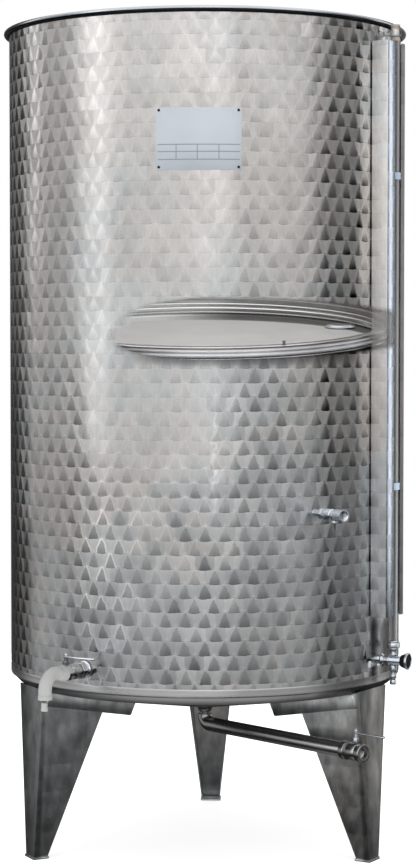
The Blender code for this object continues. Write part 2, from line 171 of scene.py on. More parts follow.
def extrudeTo(offset, ratio, centre):
    bpy.ops.mesh.extrude_region_move(TRANSFORM_OT_translate={"value": offset})
    if abs(ratio - 1) > 1e-6:
        bpy.ops.transform.resize(value=(ratio, ratio, ratio), center_override=centre)


def turned(name, stations, sides=48, ring=False, rounding=0.0005, angle=smoothAngle):
    # A circle extruded and scaled from station to station. A ring comes back to its start.
    deselectAll()
    stations = list(stations)
    radius, height = stations[0]
    bpy.ops.mesh.primitive_circle_add(vertices=sides, radius=radius, location=(0, 0, height),
                                      fill_type="NOTHING" if ring else "NGON")
    piece = bpy.context.object
    editAll()
    for nextRadius, nextHeight in stations[1:] + (stations[:1] if ring else []):
        extrudeTo((0, 0, nextHeight - height), nextRadius / radius, (0, 0, nextHeight))
        radius, height = nextRadius, nextHeight
    if not ring:
        bpy.ops.mesh.edge_face_add()
    bpy.ops.mesh.select_all(action="SELECT")
    if ring:
        bpy.ops.mesh.remove_doubles(threshold=merge)
    faceOutwards()
    place(piece, Matrix.Identity(4))
    return finishMesh(piece, name, rounding, angle=angle)


def scaled(radius, start, stations):
    # Stations given as shares of a radius and heights above a start
    return [(radius * share, start + height) for share, height in stations]


def hexagon(name, radius, low, high, chamfer=0.0012, rounding=0.0005):
    stations = [(radius - chamfer, low), (radius, low + chamfer), (radius, high - chamfer),
                (radius - chamfer, high)]
    return turned(name, stations, 6, rounding=rounding)


def barrel(radius, low, high, ends, steps=8):
    # A bulging barrel from end radius to end radius
    stations = []
    for step in range(steps + 1):
        share = step / steps
        bulge = math.sin(math.pi * share) ** 0.6
        stations.append((ends + (radius - ends) * bulge, low + (high - low) * share))
    return turned("valveBarrel", stations, rounding=0)


def pipe(name, radius, start, heading, moves, rounding=0.0004, sides=48):
    # A ring carried along straight runs, bends and changes of radius, in the XZ plane.
    deselectAll()
    at, facing = Vector(start), math.radians(heading)
    turn = (0, math.radians(90) - facing, 0)
    bpy.ops.mesh.primitive_circle_add(vertices=sides, radius=radius, location=at,
                                      rotation=turn, fill_type="NOTHING")
    piece = settle()
    editAll()
    for kind, amount, size in moves:
        ahead = Vector((math.cos(facing), 0, math.sin(facing)))
        if kind == "go":
            at = at + ahead * amount
            extrudeTo(ahead * amount, size / radius, at)
            radius = size
        else:
            side = math.copysign(1, amount)
            centre = at + Vector((-ahead.z, 0, ahead.x)) * side * size
            bend = math.radians(amount)
            bpy.ops.mesh.spin(steps=max(4, round(abs(amount) / 9)), angle=bend,
                              center=centre, axis=(0, 1, 0))
            at = centre + Matrix.Rotation(-bend, 3, "Y") @ (at - centre)
            facing += bend
    bpy.ops.mesh.select_all(action="SELECT")
    bpy.ops.mesh.fill_holes(sides=0)
    faceOutwards()
    return finishMesh(piece, name, rounding)


def slab(name, low, high, rounding=0.0008):
    deselectAll()
    low, high = Vector(low), Vector(high)
    bpy.ops.mesh.primitive_cube_add(size=1, location=(high + low) / 2, scale=high - low)
    return finishMesh(settle(), name, rounding, 3)


def refined(name, node, rounding, segments=3):
    # A merged copy of a frame piece, its flat faces joined again and its bends rounded
    piece = twin(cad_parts[node], name)
    piece.parent = None
    for key in list(piece.keys()):
        del piece[key]
    only(piece)
    editAll()
    bpy.ops.mesh.remove_doubles(threshold=merge)
    bpy.ops.mesh.dissolve_limited(angle_limit=math.radians(0.4))
    bpy.ops.object.mode_set(mode="OBJECT")
    return finishMesh(piece, name, rounding, segments)


# Shader maths

def symbol(operation):       # the Math node that a sign such as + stands for
    return lambda wire, *others: wire.maths(operation, *others)


class Wire:
    # A socket of a shader tree; sums and products of wires add Math nodes.
    def __init__(self, tree, socket=None):
        self.tree, self.socket = tree, socket

    def node(self, kind, settings=None, inputs=None, output=0):
        made = self.tree.nodes.new(kind)
        for key, value in (settings or {}).items():
            setattr(made, key, value)
        for key, value in (inputs or {}).items():
            if isinstance(value, Wire):
                self.tree.links.new(value.socket, made.inputs[key])
            else:
                made.inputs[key].default_value = value
        return Wire(self.tree, made.outputs[output])

    def maths(self, operation, *others):
        wires = dict(enumerate([self, *others]))
        return self.node("ShaderNodeMath", {"operation": operation}, wires)

    def __rsub__(self, other):
        return self.node("ShaderNodeMath", {"operation": "SUBTRACT"}, {0: other, 1: self})

    __add__, __sub__ = symbol("ADD"), symbol("SUBTRACT")
    __mul__, __truediv__ = symbol("MULTIPLY"), symbol("DIVIDE")
    __mod__, __abs__ = symbol("FLOORED_MODULO"), symbol("ABSOLUTE")
    __radd__, __rmul__ = __add__, __mul__

    def pick(self, first, second):       # first where the wire is 1, second where it is 0
        return second + self * (first - second)

    def between(self, low, high, first=0.0, last=1.0):
        settings = {"interpolation_type": "SMOOTHSTEP"}
        return self.node("ShaderNodeMapRange", settings,
                         {"Value": self, "From Min": low, "From Max": high,
                          "To Min": first, "To Max": last})

    def fading(self, low, high):
        return self.between(low, high, 1.0, 0.0)

    def vectorMaths(self, operation, other, key=1, output=0):
        settings = {"operation": operation}
        return self.node("ShaderNodeVectorMath", settings, {0: self, key: other}, output)

    def toned(self, level):              # a colour made lighter or darker
        return self.vectorMaths("MULTIPLY", level.vector(level, level, level))

    def axes(self):
        made = self.tree.nodes.new("ShaderNodeSeparateXYZ")
        self.tree.links.new(self.socket, made.inputs[0])
        return [Wire(self.tree, out) for out in made.outputs]

    def vector(self, x, y, z):
        return self.node("ShaderNodeCombineXYZ", None, {0: x, 1: y, 2: z})

    def noise(self, scale, detail=2.0, stretch=None):
        place = self
        if stretch:
            place = self.node("ShaderNodeMapping", None, {"Vector": self, "Scale": stretch})
        return self.node("ShaderNodeTexNoise", None,
                         {"Vector": place, "Scale": scale, "Detail": detail})

    def dice(self, output="Value"):      # one roll for each value of a vector
        return self.node("ShaderNodeTexWhiteNoise", {"noise_dimensions": "3D"}, {"Vector": self}, output)

    def blend(self, first, second):      # the wire is the factor between two colours
        return self.node("ShaderNodeMix", {"data_type": "RGBA"}, {0: self, 6: first, 7: second}, 2)


def grey(value, tint=(1, 1, 1)):
    return (*[value * part for part in tint], 1)


def newMaterial(name, metallic=0.0, **fixed):
    made = bpy.data.materials.new(name)
    made.use_nodes = True
    shader = made.node_tree.nodes["Principled BSDF"]
    shader.inputs["Metallic"].default_value = metallic
    for key, value in fixed.items():
        shader.inputs[key.replace("_", " ")].default_value = value
    start = Wire(made.node_tree)
    where = start.node("ShaderNodeTexCoord", output="Object")
    return made, shader, where


def feed(shader, **wires):
    for key, wire in wires.items():
        wire.tree.links.new(wire.socket, shader.inputs[key.replace("_", " ")])


def bump(height, **normal):
    return height.node("ShaderNodeBump", None, {"Height": height, "Distance": 1.0, **normal})


# The marbled finish: rows of brushed discs, each row laid over the one below it.
# Under a disc's centre the scratches lie level and mirror a narrow, dark strip of the room;
# beside it they stand upright and spread the light, so a dark fan stands in each disc.
# The fan is smoother, and it is also painted darker into the colour as painted shade.

marbling = {
    "discsRound": 67,
    "rowTall": 0.0313,
    "rowStart": 0.4067,
    "centre": 1.05,              # a disc's centre above its row's foot, in rows
    "scallop": 0.10,             # how far a disc's lower edge rises at its sides, in rows
    "edge": 0.07,                # the painted shade line along that edge, in rows
    "stray": 0.10,               # how far a row may lie out of step, in disc pitches
    "fan": 0.285,                # half the dark fan at its foot, in disc pitches
    "fanAbove": 0.16,            # and above the disc's centre
    "fanCurve": 1.6,
    "fanSoft": 0.045,
    "glintWide": 0.117,          # the painted highlight line beside the fan
    "tipAcross": (0.34, 0.47),   # the painted highlights at the corners between two discs
    "tipUp": (0.02, 0.30),
    "smooth": 0.13,              # roughness in the fan
    "coarse": 0.36,              # and beside it
    "dome": 0.042,               # slope of a disc from its centre outwards
    "lean": 0.020,
    "sway": (0.008, 0.005),      # how far hand work pulls the pattern along and up, in metres
}
marbling["pitch"] = 2 * math.pi * tank["radius"] / marbling["discsRound"]

# How much each mark lightens or darkens the sheet. Fan and line are painted shade, glint and tip
# painted highlights, and the line turns to a painted highlight where levelLines acts.
# Disc, upright, speck and fibre vary its tone at random.
marks = {"fan": 0.34, "glint": 0.08, "line": -0.25, "tip": 0.22, "disc": 0.22, "upright": 0.26,
         "speck": 0.10, "fibre": 0.22}

# Where on the wall the marbling shows strongly or weakly, and where painted shade or painted highlights
# lie on it. A zone is its low and high azimuth, low and high z, the soft margins of both, and how strongly
# it acts.
zones = {
    "calm": (-50, 28, 1.12, 2.10, 5, 0.12, 0.50),        # the pattern and its painted shade are faint on the upper front
    "calmMiddle": (-36, 4, 0.90, 1.12, 5, 0.06, 0.5),
    # darker painted fans on the right
    "bold": (32, 52, 0.96, 2.10, 4, 0.16, 0.34),
    "glints": (-36, -20, 0.40, 0.82, 4, 0.05, 0.55),     # painted highlights along the fans' sides
    "levelLines": (-34, 2, 0.76, 0.95, 3, 0.03, 0.60),   # painted highlights along the rows' edges
    # a painted highlight: a thin bright streak running down the front
    "paintedBrightStreak": (2.2, 2.8, 0.82, 1.06, 0.5, 0.05, 0.28),
    # painted shade on the far left, stronger low down
    "farLeft": (-100, -69, 0.40, 1.15, 3, 0.25, 0.58),
    "lowFarLeft": (-100, -58, 0.40, 0.78, 5, 0.06, 0.28),
    # painted shadow below the gauge guard, and where the outlet's mirror image lifts it
    "belowGuard": (53.5, 70, 0.30, 0.555, 2.5, 0.02, 1.0),
    "pipeImage": (48, 64, 0.4485, 0.4690, 2, 0.0015, 1.0),
    "besideTap": (16, 36, 0.785, 0.835, 3, 0.015, 0.30),
    # slight painted shade on the upper front and the lower left
    "dimFront": (-36, 10, 1.28, 1.60, 5, 0.05, 0.06),
    "lowLeft": (-44, -26, 0.44, 0.66, 4, 0.05, 0.16),
}


def within(zone, azimuth, z):
    west, east, low, high, soft, softZ, strength = zones[zone]
    across = azimuth.between(west - soft, west + soft) * azimuth.fading(east - soft, east + soft)
    return across * z.between(low - softZ, low + softZ) * z.fading(high - softZ, high + softZ) * strength


def discIn(row, along, up):
    # The disc of a row that lies nearest, and the place on it from its centre
    cfg = marbling
    stray = row.node("ShaderNodeTexWhiteNoise", {"noise_dimensions": "1D"}, {"W": row}) - 0.5
    place = along / cfg["pitch"] + (row % 2) * 0.5 + stray * cfg["stray"]
    number = place.maths("FLOOR")
    return number, place - number - 0.5, row + cfg["centre"] - up / cfg["rowTall"]


def marbledField(along, up):
    # Along and up are metres on the sheet
    cfg = marbling
    soft = cfg["fanSoft"]
    up = up - cfg["rowStart"]
    upperRow = (up / cfg["rowTall"]).maths("FLOOR")
    upper = discIn(upperRow, along, up)
    rise = cfg["centre"] - upper[2] - upper[1] * upper[1] * (4 * cfg["scallop"])
    onUpper = rise.maths("GREATER_THAN", 0.0)
    lower = discIn(upperRow - 1, along, up)
    number, aside, below = [onUpper.pick(*both) for both in zip(upper, lower)]
    side = abs(aside)
    climb = (cfg["centre"] - below).maths("MINIMUM", 1.0).maths("MAXIMUM", 0.0)
    half = (1.0 - climb.maths("POWER", cfg["fanCurve"])) * cfg["fan"]
    above = below.between(-0.02, 0.02, cfg["fanAbove"], 0.0)
    margin = half.maths("MAXIMUM", above) - side
    fan = margin.between(-soft, soft)
    aside, below = aside * cfg["pitch"], below * cfg["rowTall"]
    reach = (aside * aside + below * below).maths("SQRT") + 0.0005
    return {"number": number, "row": upperRow - 1 + onUpper, "climb": climb, "fan": fan,
            "aside": aside / reach, "above": below * -1 / reach,
            "glint": margin.between(-cfg["glintWide"], -soft) * (1.0 - fan),
            "line": rise.fading(0.0, cfg["edge"]) * onUpper,
            "tip": side.between(*cfg["tipAcross"]) * rise.fading(*cfg["tipUp"]) * onUpper}


def azimuthAxes(azimuth, x, y):
    # How far out and how far to the right a place lies, seen from an azimuth
    turn = math.radians(azimuth)
    return x * math.sin(turn) - y * math.cos(turn), x * math.cos(turn) + y * math.sin(turn)


def domedNormal(field, faces, rolls, strength):
    # The sheet's normal, tipped by the disc's dome and by its own lean
    dome, lean = marbling["dome"] * strength, marbling["lean"] * 2 * strength
    sideways = field["aside"] * dome + (rolls[0] - 0.5) * lean
    upwards = field["above"] * dome + (rolls[1] - 0.5) * lean
    right = faces.vectorMaths("CROSS_PRODUCT", (0, 0, -1))
    tipped = faces.vectorMaths("ADD", right.vectorMaths("SCALE", sideways, "Scale"))
    tipped = tipped.vectorMaths("ADD", upwards.vector(0.0, 0.0, upwards))
    return tipped.node("ShaderNodeVectorMath", {"operation": "NORMALIZE"}, {0: tipped})


def onWall(at):
    # Where a place on the wall lies in the pattern, and what its zones do there
    x, y, z = at["x"], at["y"], at["z"]
    turn = x.maths("ARCTAN2", axisY - y)
    azimuth = turn * (180 / math.pi)

    def zone(name, azimuth=azimuth):
        return within(name, azimuth, z)

    outwards = x.vector(x, y - axisY, 0.0)
    outside = at["faces"].vectorMaths("DOT_PRODUCT", outwards, output="Value").maths("GREATER_THAN", 0.0)
    pipeImage = zone("pipeImage")                   # the outlet mirrors in the wall: the painted shadow is lifted there, and the wall is smoother
    # painted shadow below the guard, streaked upright, and painted shade and a bright streak by place
    shaded = zone("belowGuard") * (1.0 - pipeImage)
    level = (1.0 + zone("paintedBrightStreak", azimuth + (at["sway"] - 0.5) * 3.5) - zone("dimFront")
             - zone("lowLeft"))
    level = level * (1.0 - zone("farLeft")) * (1.0 - zone("lowFarLeft"))
    return {"along": turn * tank["radius"],
            "worn": outside * ((1.0 - zone("calm")) * (1.0 - zone("calmMiddle")) * (1.0 - shaded * 0.6)),
            "fan": marks["fan"] + zone("bold"),
            "glint": marks["glint"] + zone("glints"),
            "line": zone("levelLines") - 0.28,
            "level": level * (1.0 - shaded * (0.72 - (at["upright"] - 0.5) * 1.2)),
            "blurred": zone("besideTap") - pipeImage * 0.20}


def marbledSteel(name, placing, shade, strength=1.0, rougher=0.0, patchy=0.20, patchScale=6.0,
                 window=None):
    # Placing says where the pattern lies on a piece, and what differs from place to place
    cfg = marbling
    made, shader, where = newMaterial(name, metallic=1.0)
    x, y, z = where.axes()
    faces = where.node("ShaderNodeNewGeometry", output="Normal")
    sway, upright = where.noise(48.0, 1.0), where.noise(26.0, 2.0, (1, 1, 0.06))
    at = {"x": x, "y": y, "z": z, "faces": faces, "sway": sway, "upright": upright}
    at = {**marks, "worn": 1.0, "level": 1.0, "blurred": 0.0, **at, **placing(at)}
    worn = at["worn"] * strength
    pullAlong, pullUp = cfg["sway"]
    field = marbledField(at["along"] + (sway - 0.5) * pullAlong, z + (sway - 0.5) * pullUp)
    rolls = z.vector(field["number"], field["row"], 0.5).dice("Color").axes()
    blotch = where.noise(patchScale, 3.0, (1, 1, 0.5))
    streak = where.noise(5.0, 2.0, (1, 1, 0.12)).between(0.30, 0.62, 0.55, 1.15)
    speck, fibre = where.noise(420.0, 2.0), where.noise(150.0, 2.0, (1, 1, 0.3))
    # painted shade: the dark fan, darkest at its foot, stands for the dark room it mirrors
    fan = field["fan"] * worn * streak * (rolls[2] * 0.6 + 0.7)
    deep = fan * field["climb"].between(0.05, 0.75, 1.0, 0.30)
    # painted shade along the scallop lines, painted highlights at tips and glints, and a random tone for
    # each disc
    marked = ((rolls[0] - 0.5) * marks["disc"] + field["line"] * at["line"] + field["tip"] * marks["tip"]
              + field["glint"] * rolls[1] * at["glint"]) * worn
    level = (1.0 + marked - deep * at["fan"] + (upright - 0.5) * marks["upright"] + (blotch - 0.5) * patchy
             + (speck - 0.5) * marks["speck"] + (fibre - 0.5) * marks["fibre"]) * at["level"]
    warm = where.noise(2.2, 2.0) + (rolls[1] - 0.5) * 0.16 * worn + (z - 1.0) * 0.10
    tone = warm.between(0.38, 0.64).blend(grey(shade, (0.955, 0.985, 1.0)), grey(shade, (1.0, 0.965, 0.935)))
    colour = tone.toned(level)
    rough = (cfg["coarse"] + rougher - fan * (cfg["coarse"] - cfg["smooth"]) - field["glint"] * worn * 0.10
             + (rolls[2] - 0.5) * 0.08 + (speck - 0.5) * 0.10 + at["blurred"])
    if "lip" in at:              # the guard's front face is smoother, and painted pale blue as a painted reflection of the sky
        rough = rough - at["lip"] * rougher * 1.5
        colour = at["lip"].blend(colour, (0.80, 0.88, 1.0, 1))
    if window:
        through, shadow = window(x, y, z)
        colour = colour.toned(shadow)
        feed(shader, Alpha=through)
    wobble = where.noise(9.0, 2.0, (1, 1, 0.5)) * 0.0016 + speck * 0.00002
    normal = domedNormal(field, faces, rolls, worn)
    feed(shader, Base_Color=colour, Roughness=rough, Normal=bump(wobble, Normal=normal))
    return made


# The cut-away in the front wall, through which the lid shows

cutaway = {
    "midZ": 1.2140,
    "halfTall": 0.0510,
    "pad": 0.0180,               # the height of the lid's own rim
    "rightWide": 0.4900,
    "leftWide": 0.2180,
    "upperLeftWide": 0.1780,
    "upperLeftCurve": 1.5,
    "leftFade": (-0.228, -0.172),
    "rightFade": (0.432, 0.440),
    "frontOnly": (-0.06, -0.02),
    "softFrom": 0.82,
    "softTo": 1.12,
    "grain": 0.0003,             # the wall thins out into fine grains, each there or gone
    "shadow": 0.62,
    "shadowTall": 2.05,
    "shadowFrom": (-0.20, -0.10),
    "shadowTo": (0.28, 0.39),
}


def cutawayView(x, y, z, through=1.0):
    # How solid the wall stays, and how dark it is in the lid's shadow
    cfg = cutaway
    right, left, upperLeft = [(x / wide).maths("MAXIMUM", 0.0) for wide in
                              (cfg["rightWide"], -cfg["leftWide"], -cfg["upperLeftWide"])]
    off = z - cfg["midZ"]
    leftPart = off.between(-0.004, 0.004).pick(upperLeft.maths("POWER", cfg["upperLeftCurve"]), left * left)
    tall = (abs(off) - cfg["pad"]).maths("MAXIMUM", 0.0) / cfg["halfTall"]
    ring = right * right + leftPart + tall * tall
    front = (y - axisY).fading(*cfg["frontOnly"])
    seen = ring.between(cfg["softTo"], cfg["softFrom"]) * x.between(*cfg["leftFade"]) * front * through
    seen = seen * x.fading(*cfg["rightFade"])
    grain = x.vector(*[axis / cfg["grain"] for axis in (x, y, z)])
    grain = grain.node("ShaderNodeVectorMath", {"operation": "FLOOR"}, {0: grain}).dice()
    shadow = (ring.between(1.00, cfg["shadowTall"], cfg["shadow"], 0.0) * off.fading(-0.03, 0.0) * front
              * x.between(*cfg["shadowFrom"]) * x.fading(*cfg["shadowTo"]))
    return 1.0 - seen.maths("GREATER_THAN", grain), 1.0 - shadow


# The plain finishes

def satinSteel(name, shade=0.60, rough=0.30, grain=0.08, stretch=(1, 1, 60), tint=(1, 1, 1),
               darkened=None):
    made, shader, where = newMaterial(name, metallic=1.0)
    lines, blotch = where.noise(60.0, 3.0, stretch), where.noise(9.0, 3.0)
    level = 1.0 + (lines - 0.5) * grain * 2 + (blotch - 0.5) * 0.20
    if darkened:
        level = level * darkened(*where.axes())
    colour = level.vector(level, level, level).vectorMaths("MULTIPLY", grey(shade, tint)[:3])
    feed(shader, Base_Color=colour, Roughness=rough + (blotch - 0.5) * 0.18 + (lines - 0.5) * 0.12,
         Normal=bump(lines * 0.00006 + blotch * 0.0002))
    return made


def mouldedPlastic(name, colour, rough=0.4, darkened=None, **fixed):
    made, shader, where = newMaterial(name, **fixed)
    fine, blotch = where.noise(900.0, 2.0), where.noise(30.0, 3.0)
    shade = blotch.between(0.35, 0.75).blend((*colour, 1), (*[c * 0.90 for c in colour], 1))
    if darkened:
        shade = shade.toned(darkened(*where.axes()))
    feed(shader, Base_Color=shade, Roughness=rough + (blotch - 0.5) * 0.15,
         Normal=bump(fine * 0.00003 + blotch * 0.0002))
    return made


# Painted shade and painted light on plain pieces: along an axis from one place to another, and the tones
# there. Depth is measured below the lid's rim.
shades = {
    "underRim": (("z", 1.8995, 1.9010, 0.10, 1.0),),
    "band": (("z", 0.4130, 0.4230, 1.15, 0.70), ("x", 0.22, 0.40, 1.0, 0.62)),
    "chamfer": (("z", 0.3930, 0.4060, 0.40, 1.0), ("x", 0.22, 0.40, 1.0, 0.62)),
    "hose": (("depth", -0.0245, -0.0205, 0.40, 1.0), ("depth", -0.0200, -0.0175, 0.9, 1.28),
             ("x", -0.16, -0.02, 0.62, 1.0), ("x", 0.10, 0.24, 1.0, 0.70)),
}


def shadeOf(name):
    def level(x, y, z):
        axes = {"x": x, "z": z}
        if name == "hose":
            axes["depth"] = lidDepth(y, z)
        first, *others = [axes[axis].between(*ramp) for axis, *ramp in shades[name]]
        for other in others:
            first = first * other
        return first
    return level


# Shell, rim, band and bottom

def buildShell():
    outer, inner = tank["radius"], tank["radius"] - tank["sheet"]
    low, high = tank["wallLow"], tank["wallHigh"]
    wall = turned("shellWall", [(outer, low), (outer, high), (inner, high), (inner, low)],
                  tank["facets"], ring=True, rounding=0)
    show(place(wall, onAxis), "marbled_steel", "shell", *[f"shell_{n}" for n in range(1, 9)])

    half, proud, short = tank["seamWide"] / 2, tank["seamProud"], tank["seamShort"]
    seam = slab("weldSeam", (outer - proud, -half, low + short), (outer + proud, half, high - short),
                proud * 0.9)
    show(place(seam, spoke(tank["seamAzimuth"])), "plain_steel", "seam")


rim = {
    "inner": 0.4570,
    "outer": 0.4725,
    "low": 1.8975,
    "high": 1.9075,
    "edge": (0.0012, 0.001),      # the eased edge on the tank side
    "rollSteps": 12,
    # the black bead below it stands for the shadow line under the roll: from the wall outwards, and its
    # height
    "bead": ((-0.001, 1.8948), (0.0030, 1.8952), (0.0045, 1.8964), (0.0045, 1.8976), (-0.001, 1.8976)),
}


def buildRim():
    # The rolled edge: flat on the tank side, a half round outside
    inner, low, high = rim["inner"], rim["low"], rim["high"]
    across, down = rim["edge"]
    middle, half = (low + high) / 2, (high - low) / 2
    stations = [(inner, low + down), (inner + across, low)]
    for step in range(rim["rollSteps"] + 1):
        angle = math.radians(-90 + 180 * step / rim["rollSteps"])
        stations.append((rim["outer"] - half + half * math.cos(angle), middle + half * math.sin(angle)))
    stations += [(inner + across, high), (inner, high - down)]
    fit("top_rim", onAxis, "plain_steel", "rim", stations, tank["facets"], ring=True, rounding=0, angle=60)
    # a black bead below the roll stands for the shadow line under it
    bead = turned("rimShadowBead", [(tank["radius"] + out, z) for out, z in rim["bead"]], tank["facets"],
                  ring=True, rounding=0)
    show(place(bead, onAxis), "plain_steel", "blackRubberAndShade")


band = {
    "low": 0.4087,
    "high": 0.4277,
    "behind": 0.0015,
    "proud": 0.0007,
    "round": 0.003,
}
cone = {
    "lip": (0.0018, 0.0027, 0.0003),     # inside the wall, and above and below the band's foot
    "edge": (0.003, 0.0015),             # the chamfer's foot, outwards and up from the cone's edge
    "radius": 0.440,
    "z": 0.3908,
    "flat": 0.02,
    "slope": 0.179,
    "sumpRadius": 0.0122,
    "sheet": 0.003,
}


def buildBandAndBottom():
    low, high, proud, curve = band["low"], band["high"], band["proud"], band["round"]
    r, back = tank["radius"], tank["radius"] - band["behind"]
    bead = [(back, low), (r + proud * 0.3, low), (r + proud, low + curve),
            (r + proud * 0.75, (low + high) / 2), (r + proud, high - curve), (r + proud * 0.3, high),
            (back, high)]
    fit("bottom_band", onAxis, "plain_steel", "band", bead, tank["facets"], ring=True, rounding=0.0004)

    inside, over, under = cone["lip"]
    lip, t, cr, cz, flat = r - inside, cone["sheet"], cone["radius"], cone["z"], cone["flat"]
    sump, sumpZ = cone["sumpRadius"], cz - cone["slope"] * (cr - cone["sumpRadius"])
    bottom = [(lip - t, low + over), (lip, low + over), (lip, low - under),
              (cr + cone["edge"][0], cz + cone["edge"][1]), (cr, cz), (cr - flat, cz - flat * cone["slope"]),
              (sump, sumpZ), (sump, sumpZ + t), (cr - t / 2, cz + t)]
    fit("tank_bottom", onAxis, "plain_steel", "chamfer", bottom, tank["facets"], ring=True, rounding=0.0006)


# Legs

legs = {
    "azimuths": {1: -62.0, 2: 58.0, 3: 178.0},
    "flanks": (0.436, 0.446, 1.65, 0.64),      # where they meet the outer face, and both tones: flanks painted lighter, the outer face painted darker
    "finish": {"shade": 0.42, "strength": 0.12, "patchy": 1.8, "patchScale": 34.0},
}


def onLeg(azimuth):
    def placing(at):
        out, _ = azimuthAxes(azimuth, at["x"], at["y"] - axisY)
        return {"along": sum(azimuthAxes(azimuth, at["x"], at["y"])),
                "level": out.between(*legs["flanks"])}
    return placing


def buildLegs():
    for number in legs["azimuths"]:
        parts = [(f"legChannel{number}", f"leg_{number}", 0.0022, 4),
                 (f"footPlate{number}", f"foot_{number}", 0.0008, 3)]
        for side in "ab":
            parts.append((f"bracket{number}{side.upper()}", f"leg_{number}_bracket_{side}", 0.0006, 2))
        for name, node, rounding, segments in parts:
            show(refined(name, node, rounding, segments), "leg_steel", f"leg{number}", node)


# Level gauge

guard = {
    "azimuth": 59.5,
    "front": (0.4978, 0.4986),
    "farSide": (0.020, 0.022),
    "farShade": 0.50,
    "finish": {"shade": 0.88, "strength": 0.35, "rougher": 0.22},
    "through": 0.80,             # how clearly the lid shows over it
}
gauge = {
    "azimuth": 62.0,
    "x": 0.4865,
    "tubeRadius": 0.0105,
    "tubeWall": 0.0016,
    "tubeLow": 0.5043,
    "plugLow": 1.8620,
    "tubeHigh": 1.8995,
    "tubeMiddleX": 0.4296,       # the tube's middle, right of the tank's axis
    "strap": (0.0006, 0.0018, 0.0170),
    "strapZ": 1.8800,
    "strapOut": 0.0030,
    "strapLean": 0.5,
    "nut": (0.0150, 0.4875, 0.5000),
    "collar": ((0.0132, 0.5000), (0.0132, 0.5030), (0.0122, 0.5040)),
    "neck": ((0.0088, 0.4697), (0.0088, 0.4735), (0.0070, 0.4745), (0.0070, 0.4830), (0.0092, 0.4838),
             (0.0092, 0.4872)),
    "clips": {"gauge_clip_low": 0.857, "gauge_clip_high": 1.5594, "gauge_clip_top": 1.880},
    "clipRadius": 0.0128,
    "clipTall": 0.016,
    "clipTab": 0.0254,           # how far the tab reaches back to the guard
}


def onGuard(at):
    out, across = azimuthAxes(guard["azimuth"], at["x"], at["y"] - axisY)
    farSide = across.between(*guard["farSide"])
    # the lip is painted pale as a reflection of the sky, and the far side is painted darker as shade
    return {"along": sum(azimuthAxes(guard["azimuth"], at["x"], at["y"])),
            "lip": out.between(*guard["front"]) * (1.0 - farSide),
            "level": 1.0 - farSide * guard["farShade"]}


def clearPlastic(name):
    made, shader, where = newMaterial(name)
    streak = where.noise(40.0, 2.0, (1, 1, 0.05))
    # painted highlights down both sides of the tube and a painted dark line inside them, set across its
    # width
    side = (where.axes()[0] - gauge["tubeMiddleX"]) / gauge["tubeRadius"]
    edge = side.fading(-0.9, -0.6) + side.between(0.35, 0.55) * side.fading(0.7, 0.85)
    paintedDarkLine = side.between(-0.45, -0.2) * side.fading(0.0, 0.3)
    shade = streak.blend((0.20, 0.20, 0.20, 1), (0.34, 0.33, 0.32, 1))
    colour = (paintedDarkLine * 0.7).blend(shade, (0.05, 0.055, 0.06, 1))
    colour = (edge * 0.7).blend(colour, (0.62, 0.64, 0.68, 1))
    feed(shader, Base_Color=colour, Alpha=0.55 + (streak - 0.5) * 0.2,
         Roughness=0.12 + streak * 0.1, Normal=bump(streak * 0.0003))
    return made


def buildGauge():
    show(refined("gaugeGuard", "gauge_guard", 0.0006, 2), "marbled_steel", "guard", "gauge_guard")

    cfg, at = gauge, spoke(gauge["azimuth"], gauge["x"])
    outer, inner = cfg["tubeRadius"], cfg["tubeRadius"] - cfg["tubeWall"]
    low, high, top = cfg["tubeLow"], cfg["plugLow"], cfg["tubeHigh"]
    fit("gauge_tube", at, "clear_tube", "clear", [(outer, low), (outer, high), (inner, high), (inner, low)],
        40, ring=True, rounding=0.0003)
    plug = turned("gaugePlug", [(inner, high + gap), (outer, high + gap + 0.0004), (outer, top - 0.010),
                                (outer - 0.001, top - 0.009), (outer - 0.001, top - 0.006),
                                (outer, top - 0.005), (outer, top)], 40)
    show(place(plug, at), "clear_tube", "beigePlastic")

    strap = slab("gaugeStrap", -Vector(cfg["strap"]), cfg["strap"], 0.0004)
    lean = Matrix.Rotation(cfg["strapLean"], 4, "X")
    show(place(strap, at @ Matrix.Translation((outer + cfg["strapOut"], 0, cfg["strapZ"])) @ lean),
         "plain_steel", "darkSteel")

    nut = join([hexagon("gaugeNut", *cfg["nut"]), turned("nutCollar", cfg["collar"], 32)], "gaugeNut")
    show(place(nut, at), "polished_steel", "polished", "gauge_nut")
    fitSteel("gauge_neck", at, cfg["neck"], 32)

    model = buildClip("clipModel")
    for node, z in cfg["clips"].items():
        clip = place(twin(model, pieceName(node)), at @ Matrix.Translation((0, 0, z)))
        show(clip, "plate_metal", "satin" if node == "gauge_clip_top" else "clipPlastic", node)
    bpy.data.objects.remove(model)


def buildClip(name):
    half, outer, inner = gauge["clipTall"] / 2, gauge["clipRadius"], gauge["tubeRadius"] + 0.0002
    clip = turned(name, [(outer, -half), (outer + 0.0006, 0.002 - half), (outer, 0),
                         (outer + 0.0006, half - 0.002), (outer, half), (inner, half),
                         (inner, -half)], 32, ring=True, rounding=0.0004)
    tab = slab("clipTab", (-gauge["clipTab"], -0.004, -half * 0.6), (-inner - 0.0004, 0.004, half * 0.6))
    return join([clip, tab], name)


# Outlet below the gauge

outlet = {
    "z": 0.4587,
    "radius": 0.0107,
    "end": 0.5065,
    # beyond the pipe's radius, and from the wall: the weld, and the ring round the pipe
    "pipe": ((0.0045, 0), (0.0020, 0.0022), (0, 0.0035), (0, 0.0125), (0.0012, 0.0130), (0.0012, 0.0185),
             (0, 0.0190)),
    "mouthEnd": 0.5250,
    "mouthRadius": 0.0190,
    "boreRadius": 0.0155,
    "cockRadius": 0.0078,
    "cockLow": 0.4036,
    # shares of the cock's radius, and above its foot
    "cock": ((0.7, 0.0110), (0.7, 0.0140), (1, 0.0150), (1, 0.0235), (0.62, 0.0250), (0.62, 0.0285),
             (1, 0.030)),
}


